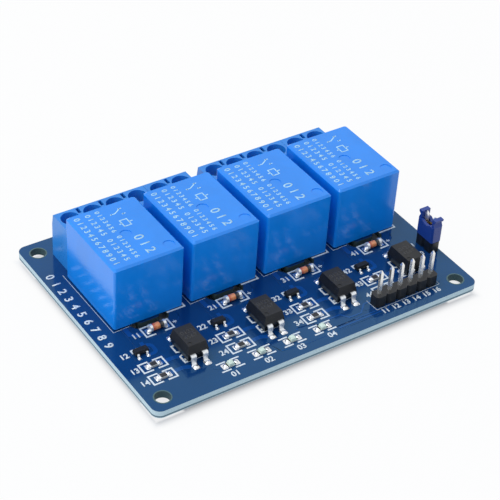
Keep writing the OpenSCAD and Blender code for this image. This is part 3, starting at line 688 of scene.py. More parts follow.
class Workpiece:
    """One mesh on the bench, shaped by the operators of edit mode.

    Every measure is in millimetres in the model's frame. What the last
    primitive added is called the new shape. Whatever was made before it is
    hidden, so that picks and selections find only the new shape.
    """

    def __init__(self, name: str) -> None:
        """Clears the bench and starts an empty mesh.

        Args:
            name: The name of the finished piece.
        """
        bpy.ops.object.select_all(action="DESELECT")
        bpy.ops.object.add(type="MESH", location=(0, 0, 0))
        self.piece = bpy.context.object
        self.piece.name = self.piece.data.name = name
        bpy.ops.object.mode_set(mode="EDIT")

    def _clear(self) -> None:
        """Hides what is already made."""
        bpy.ops.mesh.select_all(action="SELECT")
        bpy.ops.mesh.hide(unselected=False)

    def block(self, centre: Place, size: Place) -> "Workpiece":
        """Adds a block.

        Args:
            centre: Its middle.
            size: Its length along each axis.

        Returns:
            This piece.
        """
        self._clear()
        bpy.ops.mesh.primitive_cube_add(
            size=MM, location=Vector(centre) * MM, scale=size
        )
        return self

    def rounded(
        self,
        centre: Place,
        size: Place,
        width: float,
        segments: int = 2,
        along: str = "",
    ) -> None:
        """Adds a block with rounded edges.

        Args:
            centre: Its middle.
            size: Its length along each axis.
            width: How far each rounding reaches.
            segments: How many facets stand for it.
            along: The axis of the edges that are rounded, or none for all.
        """
        self.block(centre, size)
        lane = "XYZ".find(along) if along else None
        self.pick(
            "EDGE", lambda _, way: lane is None or abs(way[lane]) > 0.9
        )
        self.bevel(width, segments)

    def sheet(
        self, centre: Place, size: Point, turn: float = 0
    ) -> "Workpiece":
        """Adds a flat sheet that faces up.

        Args:
            centre: Its middle.
            size: Its length and width.
            turn: How far it is turned anticlockwise, in radians.

        Returns:
            This piece.
        """
        self._clear()
        bpy.ops.mesh.primitive_plane_add(
            size=MM, location=Vector(centre) * MM, rotation=(0, 0, turn)
        )
        bpy.ops.transform.resize(
            value=(*size, 1),
            orient_type="GLOBAL",
            orient_matrix=Matrix.Rotation(turn, 3, "Z"),
            center_override=Vector(centre) * MM,
        )
        return self

    def disc(
        self, centre: Place, radius: float, sides: int = 24
    ) -> "Workpiece":
        """Adds a flat disc that faces up.

        Args:
            centre: Its middle.
            radius: Its radius.
            sides: How many sides stand for the circle.

        Returns:
            This piece.
        """
        self._clear()
        bpy.ops.mesh.primitive_circle_add(
            vertices=sides,
            radius=radius * MM,
            fill_type="NGON",
            location=Vector(centre) * MM,
        )
        return self

    def rod(
        self,
        centre: Place,
        radius: float,
        length: float,
        axis: Axis = Axis.Z,
        sides: int = 32,
    ) -> "Workpiece":
        """Adds a rod.

        Args:
            centre: Its middle.
            radius: Its radius.
            length: Its length.
            axis: The way it points.
            sides: How many sides stand for the circle.

        Returns:
            This piece.
        """
        self._clear()
        bpy.ops.mesh.primitive_cylinder_add(
            vertices=sides,
            radius=radius * MM,
            depth=length * MM,
            location=Vector(centre) * MM,
            rotation=axis.value,
        )
        return self

    def dome(self, spot: Point, level: float, size: Place) -> "Workpiece":
        """Adds a drop with a flat foot, as set solder has.

        Args:
            spot: Its middle.
            level: The height that its foot stands at.
            size: Its length, width and height.

        Returns:
            This piece.
        """
        self._clear()
        foot = Vector((*spot, level)) * MM
        bpy.ops.mesh.primitive_uv_sphere_add(
            segments=16,
            ring_count=10,
            radius=MM / 2,
            location=foot,
            scale=(size[0], size[1], size[2] * 2),
        )
        bpy.ops.mesh.bisect(
            plane_co=foot,
            plane_no=(0, 0, 1),
            clear_inner=True,
            use_fill=True,
            threshold=MM * 1e-4,
        )
        return self

    def pick(
        self, kind: str, wanted: Callable[[Vector, Vector], bool]
    ) -> "Workpiece":
        """Selects faces or edges of the new shape.

        Args:
            kind: "FACE" or "EDGE".
            wanted: Tells from an element's middle, and from its normal or an
                edge's direction, whether it is selected.

        Returns:
            This piece.
        """
        bpy.ops.mesh.select_mode(type=kind)
        bpy.ops.mesh.select_all(action="DESELECT")
        mesh = bmesh.from_edit_mesh(self.piece.data)
        for element in mesh.faces if kind == "FACE" else mesh.edges:
            if element.hide:
                continue
            if kind == "FACE":
                middle, way = element.calc_center_median(), element.normal
            else:
                start, end = (vert.co for vert in element.verts)
                middle, way = (start + end) / 2, (end - start).normalized()
            if wanted(middle / MM, way):
                element.select_set(True)
        bmesh.update_edit_mesh(self.piece.data)
        return self

    def bevel(self, width: float, segments: int = 2) -> None:
        """Rounds the selected edges."""
        bpy.ops.mesh.bevel(
            offset=width * MM,
            segments=segments,
            affect="EDGES",
            clamp_overlap=False,
        )

    def inset(self, width: float) -> None:
        """Insets the selected faces."""
        bpy.ops.mesh.inset(thickness=width * MM)

    def scale(self, factors: Place, about: Place) -> None:
        """Scales what is selected about a point."""
        bpy.ops.transform.resize(
            value=factors, center_override=Vector(about) * MM
        )

    def stroke(
        self, path: Sequence[Point], level: float, width: float
    ) -> None:
        """Lays a flat band of even width along a path, mitred at its turns.

        Args:
            path: The points that its middle passes through.
            level: Its height above the model's lowest plane.
            width: Its width.
        """
        spots = [Vector((*point, level)) for point in path]
        runs = [end - start for start, end in zip(spots, spots[1:])]
        heads = [math.atan2(run.y, run.x) for run in runs]
        stub = min(0.05, runs[0].length / 2)
        near = spots[0] + runs[0].normalized() * stub / 2
        self.sheet(near, (stub, width), heads[0])
        way = runs[0].normalized()
        self.pick("EDGE", lambda middle, _: (middle - near).dot(way) > 0.01)
        here, lean, stretch = spots[0] + way * stub, heads[0], 1.0
        for number, spot in enumerate(spots[1:]):
            bpy.ops.mesh.extrude_edges_move(
                TRANSFORM_OT_translate={"value": (spot - here) * MM}
            )
            turn = 0.0
            if number + 1 < len(heads):
                change = heads[number + 1] - heads[number]
                turn = math.remainder(change, math.tau)
            new_lean = heads[number] + turn / 2
            new_stretch = 1 / math.cos(turn / 2)
            self._set_end(spot, new_lean - lean, new_stretch / stretch)
            here, lean, stretch = spot, new_lean, new_stretch

    def _set_end(self, spot: Vector, turn: float, stretch: float) -> None:
        """Turns and stretches the edge at a band's end.

        Args:
            spot: The edge's middle.
            turn: How far it turns anticlockwise, in radians.
            stretch: What its length is multiplied by.
        """
        if abs(turn) > 1e-5:
            bpy.ops.transform.rotate(
                value=-turn, orient_axis="Z", center_override=spot * MM
            )
        if abs(stretch - 1) > 1e-5:
            bpy.ops.transform.resize(
                value=(stretch, stretch, 1), center_override=spot * MM
            )

    def writing(
        self,
        text: str,
        centre: Place,
        height: float,
        turn: float = 0,
        bold: float = 0,
    ) -> None:
        """Adds flat digits.

        Args:
            text: What is written.
            centre: The middle of the writing.
            height: How tall a digit stands.
            turn: How far the line is turned anticlockwise, in radians.
            bold: How much each line is thickened, as a share of the size.
        """
        bpy.ops.object.mode_set(mode="OBJECT")
        bpy.ops.object.select_all(action="DESELECT")
        bpy.ops.object.text_add(location=(0, 0, 0))
        letters = bpy.context.object
        letters.data.body = text
        letters.data.size = height / 0.7
        letters.data.offset = bold
        letters.data.resolution_u = 3
        letters.data.align_x = letters.data.align_y = "CENTER"
        bpy.ops.object.convert(target="MESH")
        letters = bpy.context.object
        letters.scale = (MM, MM, MM)
        letters.rotation_euler = (0, 0, turn)
        letters.location = Vector(centre) * MM
        bpy.ops.object.transform_apply(
            location=True, rotation=True, scale=True
        )
        self.piece.select_set(True)
        bpy.context.view_layer.objects.active = self.piece
        bpy.ops.object.join()
        bpy.ops.object.mode_set(mode="EDIT")

    def thicken(self, thickness: float) -> "Workpiece":
        """Gives flat shapes a thickness upwards.

        Args:
            thickness: How far the top lies above the drawn sheets.

        Returns:
            This piece.
        """
        bpy.ops.mesh.reveal()
        bpy.ops.mesh.select_all(action="SELECT")
        bpy.ops.object.mode_set(mode="OBJECT")
        solid = self.piece.modifiers.new("thickness", "SOLIDIFY")
        solid.thickness = thickness * MM
        solid.offset = 1.0
        bpy.ops.object.modifier_apply(modifier=solid.name)
        bpy.ops.object.mode_set(mode="EDIT")
        return self

    def finish(
        self,
        material: Material,
        slot: str,
        body: str = "board",
        replaces: Sequence[str] = (),
        smooth: float = 0,
    ) -> bpy.types.Object:
        """slot: The material slot that the finish belongs to. It is not used.
            body: The body that it rides on.
            replaces: The nodes that it stands for.
            smooth: The greatest angle that is shaded smooth, in degrees.

        Returns:
            The finished object.
        """
        bpy.ops.mesh.reveal(select=False)
        bpy.ops.object.mode_set(mode="OBJECT")
        piece = self.piece
        piece.data.materials.clear()
        piece.data.materials.append(material)
        if smooth:
            bpy.ops.object.select_all(action="DESELECT")
            piece.select_set(True)
            bpy.context.view_layer.objects.active = piece
            bpy.ops.object.shade_smooth_by_angle(angle=math.radians(smooth))
        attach(piece, body)
        if replaces:
            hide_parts(*replaces)
        LOG.info("%s: %d faces", piece.name, len(piece.data.polygons))
        return piece


def copied(
    piece: bpy.types.Object, name: str, move: Place, body: str = "board"
) -> bpy.types.Object:
    """Copies a finished piece to another place, with a mesh of its own.

    Args:
        piece: The piece that is copied.
        name: The copy's name.
        move: How far the copy is moved, in millimetres.
        body: The body that it rides on.

    Returns:
        The copy.
    """
    twin = piece.copy()
    twin.data = piece.data.copy()
    twin.name = twin.data.name = name
    bpy.context.collection.objects.link(twin)
    twin.data.transform(Matrix.Translation(Vector(move) * MM))
    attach(twin, body)
    LOG.info("%s: a copy of %s", name, piece.name)
    return twin


# ---- Places on the board ------------------------------------------------


def box_mm(node: str) -> tuple[Vector, Vector]:
    """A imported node's lowest and highest corners, in millimetres."""
    low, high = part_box(node)
    return low / MM, high / MM


@dataclass
class BoardPlan:
    """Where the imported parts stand, read from their boxes."""

    channels: int = 4
    chip_width: float = 1.25
    light_length: float = 2.0
    low: Vector = field(init=False)
    high: Vector = field(init=False)
    columns: list[float] = field(init=False)
    relay_front: float = field(init=False)
    relay_top: float = field(init=False)

    def __post_init__(self) -> None:
        """Reads the boxes of the board and the relays."""
        self.low, self.high = box_mm("circuit_board")
        cases = [box_mm(f"relay_case_{n + 1}") for n in range(self.channels)]
        self.columns = [(low.x + high.x) / 2 for low, high in cases]
        self.relay_front = cases[0][0].y
        self.relay_top = cases[0][1].z

    @property
    def level(self) -> float:
        """The height of the board's top face."""
        return self.high.z

    def group(self, node: str) -> tuple[Vector, Vector]:
        """One channel's share of a node that every channel repeats.

        Args:
            node: The node's name.

        Returns:
            The share's middle, seen from its channel's middle, and its size.
        """
        low, high = box_mm(node)
        first, last = self.columns[0], self.columns[-1]
        middle, size = (low + high) / 2, high - low
        middle.x -= (first + last) / 2
        size.x -= last - first
        return middle, size

    def chip_rows(self) -> list[float]:
        """Finds a channel's two resistors.

        Returns:
            Their places along Y.
        """
        middle, size = self.group("resistors")
        apart = (size.y - self.chip_width) / 2
        return [middle.y + side * apart for side in (-1, 1)]

    def lights(self) -> list[Point]:
        """Finds the lights in the front row.

        Returns:
            The middle of each.
        """
        low, high = box_mm("indicator_lights")
        step = (high.x - low.x - self.light_length) / (self.channels - 1)
        first = low.x + self.light_length / 2
        y = (low.y + high.y) / 2
        return [(first + step * n, y) for n in range(self.channels)]

    def at(self, column: float, path: Sequence[Point]) -> list[Point]:
        """Turns a channel's own measures into places on the board.

        Args:
            column: The channel's middle.
            path: Points right of that middle and behind the relay's front.

        Returns:
            The same points in the model's frame.
        """
        return [(column + x, self.relay_front + y) for x, y in path]


def bow(
    centre: Point, radius: float, start: float, end: float, steps: int = 6
) -> list[Point]:
    """Points along an arc.

    Args:
        centre: The arc's centre.
        radius: Its radius.
        start: The angle that it starts at, in degrees from +X.
        end: The angle that it ends at.
        steps: How many straight runs stand for it.

    Returns:
        The points in order.
    """
    angles = [
        math.radians(start + (end - start) * step / steps)
        for step in range(steps + 1)
    ]
    return [
        (centre[0] + radius * math.cos(a), centre[1] + radius * math.sin(a))
        for a in angles
    ]


# ---- What lies on the board ---------------------------------------------


@dataclass
class CopperTracks:
    """Copper under the mask: it shows as low, slightly lighter bands."""

    plan: BoardPlan
    width: float = 1.0
    thin: float = 0.32
    height: float = 0.045

    def build(self, material: Material) -> None:
        """Lays every track.

        Args:
            material: The mask over copper.
        """
        work = Workpiece("board_tracks")
        level = self.plan.level
        for column in self.plan.columns:
            for path, width in self._channel():
                work.stroke(self.plan.at(column, path), level, width)
        for path in self._input_runs():
            work.stroke(path, level, self.thin)
        work.thicken(self.height)
        work.finish(material, "board_mask")

    def _channel(self) -> list[tuple[list[Point], float]]:
        """One channel's tracks, with the width of each."""
        wide = self.width
        return [
            ([(-6.35, -0.2), (-6.35, -6.6)], wide),
            (
                [(-5.4, -9.0), (-4.3, -9.0)]
                + bow((-4.3, -8.2), 0.8, -90, 0)[1:]
                + bow((-4.3, -7.2), 0.8, 0, 90)
                + [(-4.9, -6.4), (-4.9, -5.2)],
                wide * 0.8,
            ),
            (
                [(-4.3, -11.95), (-1.6, -11.95), (-0.2, -12.4), (1.2, -12.4)],
                wide,
            ),
            ([(-4.3, -15.3), (-1.6, -15.2), (0.5, -16.0)], wide),
            (
                [(5.35, -0.2), (5.45, -1.2)]
                + bow((3.75, -1.6), 1.7, 0, -90)[1:]
                + [(3.0, -3.3)],
                wide * 1.25,
            ),
            ([(-3.0, -3.3), (-4.6, -3.3), (-5.6, -2.4), (-5.6, -0.2)], wide),
            (
                [(3.07, -16.9), (3.07, -18.3), (3.7, -18.95), (4.8, -18.95)],
                self.thin,
            ),
            (
                [(0.53, -6.6), (0.53, -4.9), (3.3, -4.9), (3.3, -4.0)],
                wide * 0.7,
            ),
        ]

    def _input_runs(self) -> list[list[Point]]:
        """The thin lines from the front parts to the input pins."""
        return [
            [
                (4.5, -21.6), (7.4, -21.6), (8.6, -23.2), (11.4, -23.2),
                (13.4, -21.3), (15.2, -21.3),
            ],
            [
                (-2.6, -21.2), (-1.8, -20.8), (1.2, -21.2), (3.9, -24.2),
                (14.6, -24.2),
            ],
            [
                (-9.5, -21.3), (-8.4, -24.6), (-3.2, -25.3), (17.6, -25.3),
                (19.4, -24.2),
            ],
            [(5.0, -24.75), (16.8, -24.75), (18.2, -23.4)],
        ]


@dataclass
class WhitePrint:
    """White screen print: outlines of the parts, and plain numbers."""

    plan: BoardPlan
    line: float = 0.32
    height: float = 0.075
    bold: float = 0.05
    box_gap: float = 0.25
    light_line: Point = (0.5, 2.5)
    light_gap: float = 1.15
    light_numbers: tuple[float, ...] = (-19.2, -11.7, -4.3, 2.8)
    light_row: float = -25.6
    scale_start: float = 16.2
    scale_step: float = 2.6

    def build(self, material: Material) -> None:
        """Prints every outline and number.

        Args:
            material: The ink.
        """
        self.work = Workpiece("board_print")
        for number, column in enumerate(self.plan.columns):
            self._relay(column)
            self._optocoupler(column)
            self._small_parts(column)
            self._labels(column, number + 1)
        self._indicators()
        self._input()
        self._edge()
        self.work.thicken(self.height)
        self.work.finish(material, "board_mask")

    def _draw(self, column: float, *paths: Sequence[Point]) -> None:
        """Draws lines given in a channel's own measures."""
        for path in paths:
            spots = self.plan.at(column, path)
            self.work.stroke(spots, self.plan.level, self.line)

    def _write(
        self, text: str, spot: Point, height: float = 1.3, turn: float = 0
    ) -> None:
        """Writes a number at a place on the board."""
        self.work.writing(
            text, (*spot, self.plan.level), height, turn, self.bold
        )

    def _relay(self, column: float) -> None:
        """The outline that a relay stands in.

        Args:
            column: The channel's middle.
        """
        left, right = -8.11, 7.86
        front, back = -0.2, 19.5
        self._draw(
            column,
            [(left, back), (left, front), (left + 3.5, front)],
            [(right - 4.0, front), (right, front), (right, back)],
        )

    def _optocoupler(self, column: float) -> None:
        """The outline round an optocoupler, notched at its left side.

        Args:
            column: The channel's middle.
        """
        self._draw(
            column,
            [
                (0.35, -9.1), (-0.55, -9.1), (-0.55, -11.0), (0.3, -11.25),
                (0.3, -12.0), (-0.55, -12.35), (-0.55, -14.2), (4.15, -14.2),
                (4.15, -9.1), (3.4, -9.1),
            ],
        )
        spot = self.plan.at(column, [(-0.05, -13.5)])[0]
        self.work.disc((*spot, self.plan.level), 0.28, 16)

    def _small_parts(self, column: float) -> None:
        """Brackets round the transistor, the resistors and the diode.

        Args:
            column: The channel's middle.
        """
        self._draw(column, [(-6.95, -6.45), (-7.75, -6.45), (-7.75, -7.4)])
        self._draw(column, [(-5.0, -6.45), (-4.6, -6.45), (-4.6, -7.4)])
        for top in (-10.6, -14.2):
            low = top - 2.45
            self._draw(
                column,
                [(-6.6, top), (-8.62, top), (-8.62, low), (-6.6, low)],
                [(-5.6, top), (-3.6, top), (-3.6, low), (-5.6, low)],
            )
        self._draw(
            column,
            [(-1.1, -1.85), (-3.1, -1.85), (-3.1, -4.55), (-1.1, -4.55)],
            [(0.9, -1.85), (2.9, -1.85), (2.9, -4.55), (0.9, -4.55)],
            [(3.4, -3.2), (4.2, -3.2)],
            [(3.8, -2.8), (3.8, -3.6)],
        )

    def _labels(self, column: float, number: int) -> None:
        """The numbers beside a channel's parts."""
        places = [(-4.7, -3.3), (-9.6, -7.3), (-9.9, -11.8), (-9.9, -15.5)]
        for item, spot in enumerate(self.plan.at(column, places)):
            self._write(f"{number}{item + 1}", spot)

    def _indicators(self) -> None:
        """Lines and numbers at the front row of lights."""
        level = self.plan.level
        near, far = self.light_line
        for x, middle in self.plan.lights():
            for y in (middle - self.light_gap, middle + self.light_gap):
                for start, end in ((-far, -near), (near, far)):
                    path = [(x + start, y), (x + end, y)]
                    self.work.stroke(path, level, self.line)
        for number, x in enumerate(self.light_numbers, 1):
            self._write(f"0{number}", (x, self.light_row))

    def _input(self) -> None:
        """The box round the input pins, and their numbers."""
        low, high = box_mm("input_header_base")
        edge = self.box_gap
        self.work.stroke(
            [
                (low.x - edge, high.y + edge), (low.x - edge, low.y - edge),
                (high.x + edge, low.y - edge), (high.x + edge, high.y + edge),
            ],
            self.plan.level,
            self.line,
        )
        pitch = (high.x - low.x) / 6
        for pin in range(6):
            spot = (low.x + pitch * (pin + 0.5), low.y - 1.35)
            self._write(f"1{pin + 1}", spot, 1.25)

    def _edge(self) -> None:
        """A scale of digits that runs up the left edge."""
        x = self.plan.low.x + 1.7
        for step in range(10):
            y = self.scale_start - self.scale_step * step
            self._write(str(step), (x, y), 1.75, -math.pi / 2)
        low, high = box_mm("jumper_header_base")
        self._write("0", (low.x - 1.2, low.y + 1.0), 1.1)
        self._write("1", (low.x - 1.2, high.y - 1.0), 1.1)


@dataclass
class RelayPrint:
    """Pale print on a relay's top: rows of digits and a contact diagram."""

    plan: BoardPlan
    line: float = 0.24
    height: float = 0.02
    bold: float = 0.035

    def build(self, material: Material) -> None:
        """Prints the first relay and copies its print to the others.

        Args:
            material: The ink.
        """
        self.work = Workpiece("relay_print_1")
        column = self.plan.columns[0]
        self._row(column, -6.1, 1.25, "0 1 2 3 4 5 6 7 8 9 0 1", 9.55)
        for middle in (14.0, 5.3):
            self._row(column, -3.75, 1.15, "0 1 2 3 4 5", middle)
            self._row(column, -1.65, 1.0, "0 1 2 3 4 5 6", middle)
        self._row(column, 1.5, 2.0, "0 1 2", 4.6)
        self._diagram(column)
        self.work.thicken(self.height)
        first = self.work.finish(material, "relay_plastic")
        for number, other in enumerate(self.plan.columns[1:], 2):
            copied(first, f"relay_print_{number}", (other - column, 0, 0))

    def _row(
        self, column: float, x: float, height: float, text: str, middle: float
    ) -> None:
        """One row of digits that runs from front to back."""
        spot = (*self.plan.at(column, [(x, middle)])[0], self.plan.relay_top)
        self.work.writing(text, spot, height, -math.pi / 2, self.bold)

    def _diagram(self, column: float) -> None:
        """A coil, a switching blade and its contacts.

        Args:
            column: The channel's middle.
        """
        top = self.plan.relay_top
        for path in (
            [(0.9, 11.0), (2.4, 11.0), (2.4, 13.0), (0.9, 13.0), (0.9, 10.92)],
            [(0.3, 12.0), (0.9, 12.0)],
            [(2.4, 12.0), (3.2, 12.0)],
            [(0.4, 15.4), (1.2, 15.4), (2.5, 16.2)],
            [(2.6, 14.7), (3.2, 14.7)],
            [(2.6, 16.4), (3.2, 16.4)],
        ):
            self.work.stroke(self.plan.at(column, path), top, self.line)
        dots = [(0.4, 15.4), (2.6, 14.7), (2.6, 16.4)]
        for spot in self.plan.at(column, dots):
            self.work.disc((*spot, top), 0.2, 14)


# ---- Small parts --------------------------------------------------------


@dataclass
class Solder:
    """Pads on the board and the solder that has set on them."""

    plan: BoardPlan
    pad: float = 0.06
    lead_pad: Point = (1.35, 1.5)
    chip_pad: Point = (0.95, 1.35)
    light_pad: Point = (1.2, 1.45)
    transistor_pad: Point = (0.7, 0.8)
    lead_drop: Place = (1.3, 1.25, 0.34)
    light_drop: Place = (0.9, 1.2, 0.36)
    transistor_drop: Place = (0.62, 0.75, 0.3)

    def build(self, material: Material) -> None:
        """Lays all the pads and fillets.

        Args:
            material: The solder.
        """
        self.work = Workpiece("surface_solder")
        for column in self.plan.columns:
            self._leads(column)
            self._ends(column, "resistors", 0.5)
            self._ends(column, "diode_caps", 0.62)
        self._indicators()
        self.work.finish(material, "solder", smooth=60)

    def _joint(
        self, spot: Point, pad: Point, drop: Place, lean: Point = (0, 0)
    ) -> None:
        """A flat pad with a drop on it.

        Args:
            spot: The pad's middle.
            pad: Its length and width.
            drop: The drop's length, width and height.
            lean: How far the drop stands off the pad's middle.
        """
        level = self.plan.level
        centre = (*spot, level + self.pad / 2)
        corner = min(pad) * 0.2
        self.work.rounded(centre, (*pad, self.pad), corner, 3, "Z")
        middle = (spot[0] + lean[0], spot[1] + lean[1])
        self.work.dome(middle, level + self.pad / 2, drop)

    def _leads(self, column: float) -> None:
        """The joints under an optocoupler's and a transistor's feet.

        Args:
            column: The channel's middle.
        """
        middle, size = self.plan.group("optocoupler_leads")
        for x in (-1.27, 1.27):
            for side in (-1, 1):
                y = middle.y + side * (size.y / 2 - 0.45)
                spot = (column + middle.x + x, y)
                self._joint(
                    spot, self.lead_pad, self.lead_drop, (0, side * 0.1)
                )
        middle, size = self.plan.group("transistor_leads")
        for x, side in ((0, 1), (-0.95, -1), (0.95, -1)):
            spot = (column + middle.x + x, middle.y + side * size.y / 2)
            self._joint(spot, self.transistor_pad, self.transistor_drop)

    def _ends(self, column: float, node: str, height: float) -> None:
        """The joints at both ends of parts that lie along X.

        Args:
            column: The channel's middle.
            node: The node that the parts are in.
            height: How high the solder climbs.
        """
        middle, size = self.plan.group(node)
        rows = self.plan.chip_rows() if node == "resistors" else [middle.y]
        for y in rows:
            for side in (-1, 1):
                spot = (column + middle.x + side * (size.x / 2 + 0.25), y)
                drop = (0.85, 1.15, height)
                self._joint(spot, self.chip_pad, drop, (-side * 0.12, 0))

    def _indicators(self) -> None:
        """The joints at both ends of each light."""
        for x, y in self.plan.lights():
            for side in (-1, 1):
                spot = (x + side * 1.3, y)
                self._joint(
                    spot, self.light_pad, self.light_drop, (-side * 0.15, 0)
                )


@dataclass
class GlassDiodes:
    """Glass beads between their metal caps, each with a painted band."""

    plan: BoardPlan
    shoulder: float = 0.28
    band: float = 0.42
    band_share: float = 0.24
    coat: float = 0.015
    sides: int = 28

    def build(
        self, glass: Material, paint: Material
    ) -> None:
        """Makes all the beads and their bands.

        Args:
            glass: The tinted glass.
            paint: The band's paint.
        """
        middle, size = self.plan.group("diodes")
        radius = size.z / 2
        work = Workpiece("diode_beads")
        for column in self.plan.columns:
            centre = middle + Vector((column, 0, 0))
            work.rod(centre, radius, size.x, Axis.X, self.sides)
            work.pick("EDGE", lambda _, way: abs(way.x) < 0.1)
            work.bevel(self.shoulder, 4)
        work.finish(glass, "diode_glass", replaces=["diodes"], smooth=50)
        work = Workpiece("diode_bands")
        for column in self.plan.columns:
            shift = column + size.x * self.band_share
            centre = middle + Vector((shift, 0, 0))
            work.rod(
                centre, radius + self.coat, self.band, Axis.X, self.sides
            )
            work.pick("EDGE", lambda _, way: abs(way.x) < 0.1)
            work.bevel(self.coat, 2)
        work.finish(paint, "diode_glass", smooth=50)


@dataclass
class ChipResistors:
    """Ceramic chips with a dark glaze on top and plated ends."""

    plan: BoardPlan
    end: float = 0.36
    glaze: float = 0.05
    rim: float = 0.13
    sunk: float = 0.01

    def build(
        self,
        ceramic: Material,
        glaze: Material,
        metal: Material,
    ) -> None:
        """Makes every chip as three pieces.

        Args:
            ceramic: The chip's body.
            glaze: The layer over its resistive film.
            metal: Its two ends.
        """
        middle, size = self.plan.group("resistors")
        width, high = self.plan.chip_width, size.z - self.glaze
        spots = [
            Vector((column + middle.x, row, self.plan.level))
            for column in self.plan.columns
            for row in self.plan.chip_rows()
        ]
        work = Workpiece("resistor_chips")
        for spot in spots:
            centre = spot + Vector((0, 0, high / 2 + self.sunk))
            inner = (size.x - 0.1, width - 0.04, high - 2 * self.sunk)
            work.rounded(centre, inner, 0.03, along="X")
        work.finish(ceramic, "resistor_ceramic", replaces=["resistors"])
        work = Workpiece("resistor_glaze")
        for spot in spots:
            centre = spot + Vector((0, 0, high + self.glaze / 2 - self.sunk))
            work.block(
                centre,
                (size.x - 2 * self.end, width - 2 * self.rim, self.glaze),
            )
            work.pick("FACE", lambda _, normal: normal.z > 0.9)
            work.inset(0.06)
            top = centre.z + 0.01
            work.pick("EDGE", lambda middle, _: middle.z > top)
            work.bevel(0.02, 2)
        work.finish(glaze, "resistor_ceramic")
        work = Workpiece("resistor_ends")
        for spot in spots:
            for side in (-1, 1):
                centre = spot + Vector(
                    (side * (size.x - self.end) / 2, 0, size.z / 2)
                )
                work.rounded(centre, (self.end, width, size.z), 0.06, 3)
        work.finish(metal, "tinned_metal", smooth=40)


@dataclass
class IndicatorLights:
    """Small lights: a white carrier with plated ends and a clear lens."""

    plan: BoardPlan
    end: float = 0.38
    lens: float = 1.25
    carrier: float = 0.32
    slope: float = 0.2

    def build(
        self,
        carrier: Material,
        lens: Material,
        metal: Material,
    ) -> None:
        """Makes every light as three pieces.

        Args:
            carrier: The board under the light's chip.
            lens: The moulded epoxy.
            metal: The two ends.
        """
        low, high = box_mm("indicator_lights")
        length, width = self.plan.light_length, high.y - low.y
        level = self.plan.level
        lights = self.plan.lights()
        work = Workpiece("indicator_carriers")
        for spot in lights:
            work.rounded(
                (*spot, level + self.carrier / 2 + 0.01),
                (length - 0.1, width - 0.04, self.carrier - 0.02),
                0.08,
                along="Z",
            )
        work.finish(carrier, "indicator_body", replaces=["indicator_lights"])
        work = Workpiece("indicator_lenses")
        tall = high.z - level - self.carrier
        for spot in lights:
            centre = (*spot, level + self.carrier + tall / 2)
            work.block(centre, (self.lens, width, tall))
            work.pick("FACE", lambda _, normal: normal.z > 0.9)
            work.scale((1 - self.slope, 1 - self.slope / 2, 1), centre)
            base = centre[2] - 0.01
            work.pick("EDGE", lambda middle, _: middle.z > base)
            work.bevel(0.1, 4)
        work.finish(lens, "indicator_body", smooth=50)
        work = Workpiece("indicator_ends")
        for x, y in lights:
            for side in (-1, 1):
                reach = side * (length - self.end) / 2
                centre = (x + reach, y, level + self.carrier / 2)
                work.rounded(centre, (self.end, width, self.carrier), 0.05)
        work.finish(metal, "tinned_metal", smooth=40)


@dataclass
class ChipMarks:
    """Plain digits burnt into the tops of the optocouplers."""

    plan: BoardPlan
    height: float = 0.012

    def build(self, material: Material) -> None:
        """Marks the first body and copies its marks to the others.

        Args:
            material: The burnt plastic.
        """
        _, high = box_mm("optocouplers")
        middle, _ = self.plan.group("optocouplers")
        column = self.plan.columns[0]
        work = Workpiece("chip_marks_1")
        for text, shift in (("0123", 0.9), ("4567", -0.5)):
            spot = (column + middle.x, middle.y + shift, high.z)
            work.writing(text, spot, 1.0, bold=0.02)
        work.thicken(self.height)
        first = work.finish(material, "chip_plastic")
        for number, other in enumerate(self.plan.columns[1:], 2):
            copied(first, f"chip_marks_{number}", (other - column, 0, 0))


@dataclass
class HoleRings:
    """The bare ring round each mounting hole."""

    plan: BoardPlan
    hole: float = 1.55
    ring: float = 1.8
    height: float = 0.02
    reach: Point = (34.2, 24.2)

    def build(self, material: Material) -> None:
        """Makes the four rings.

        Args:
            material: The ring's finish.
        """
        home, *others = [
            (side * self.reach[0], end * self.reach[1])
            for end in (-1, 1)
            for side in (-1, 1)
        ]
        work = Workpiece("hole_ring_1")
        work.disc((*home, self.plan.level), self.ring, 40)
        work.pick("FACE", lambda *_: True)
        work.inset(self.ring - self.hole)
        bpy.ops.mesh.delete(type="FACE")
        work.thicken(self.height)
        first = work.finish(material, "board_mask")
        for number, (x, y) in enumerate(others, 2):
            move = (x - home[0], y - home[1], 0)
            copied(first, f"hole_ring_{number}", move)


# ---- Studio -------------------------------------------------------------


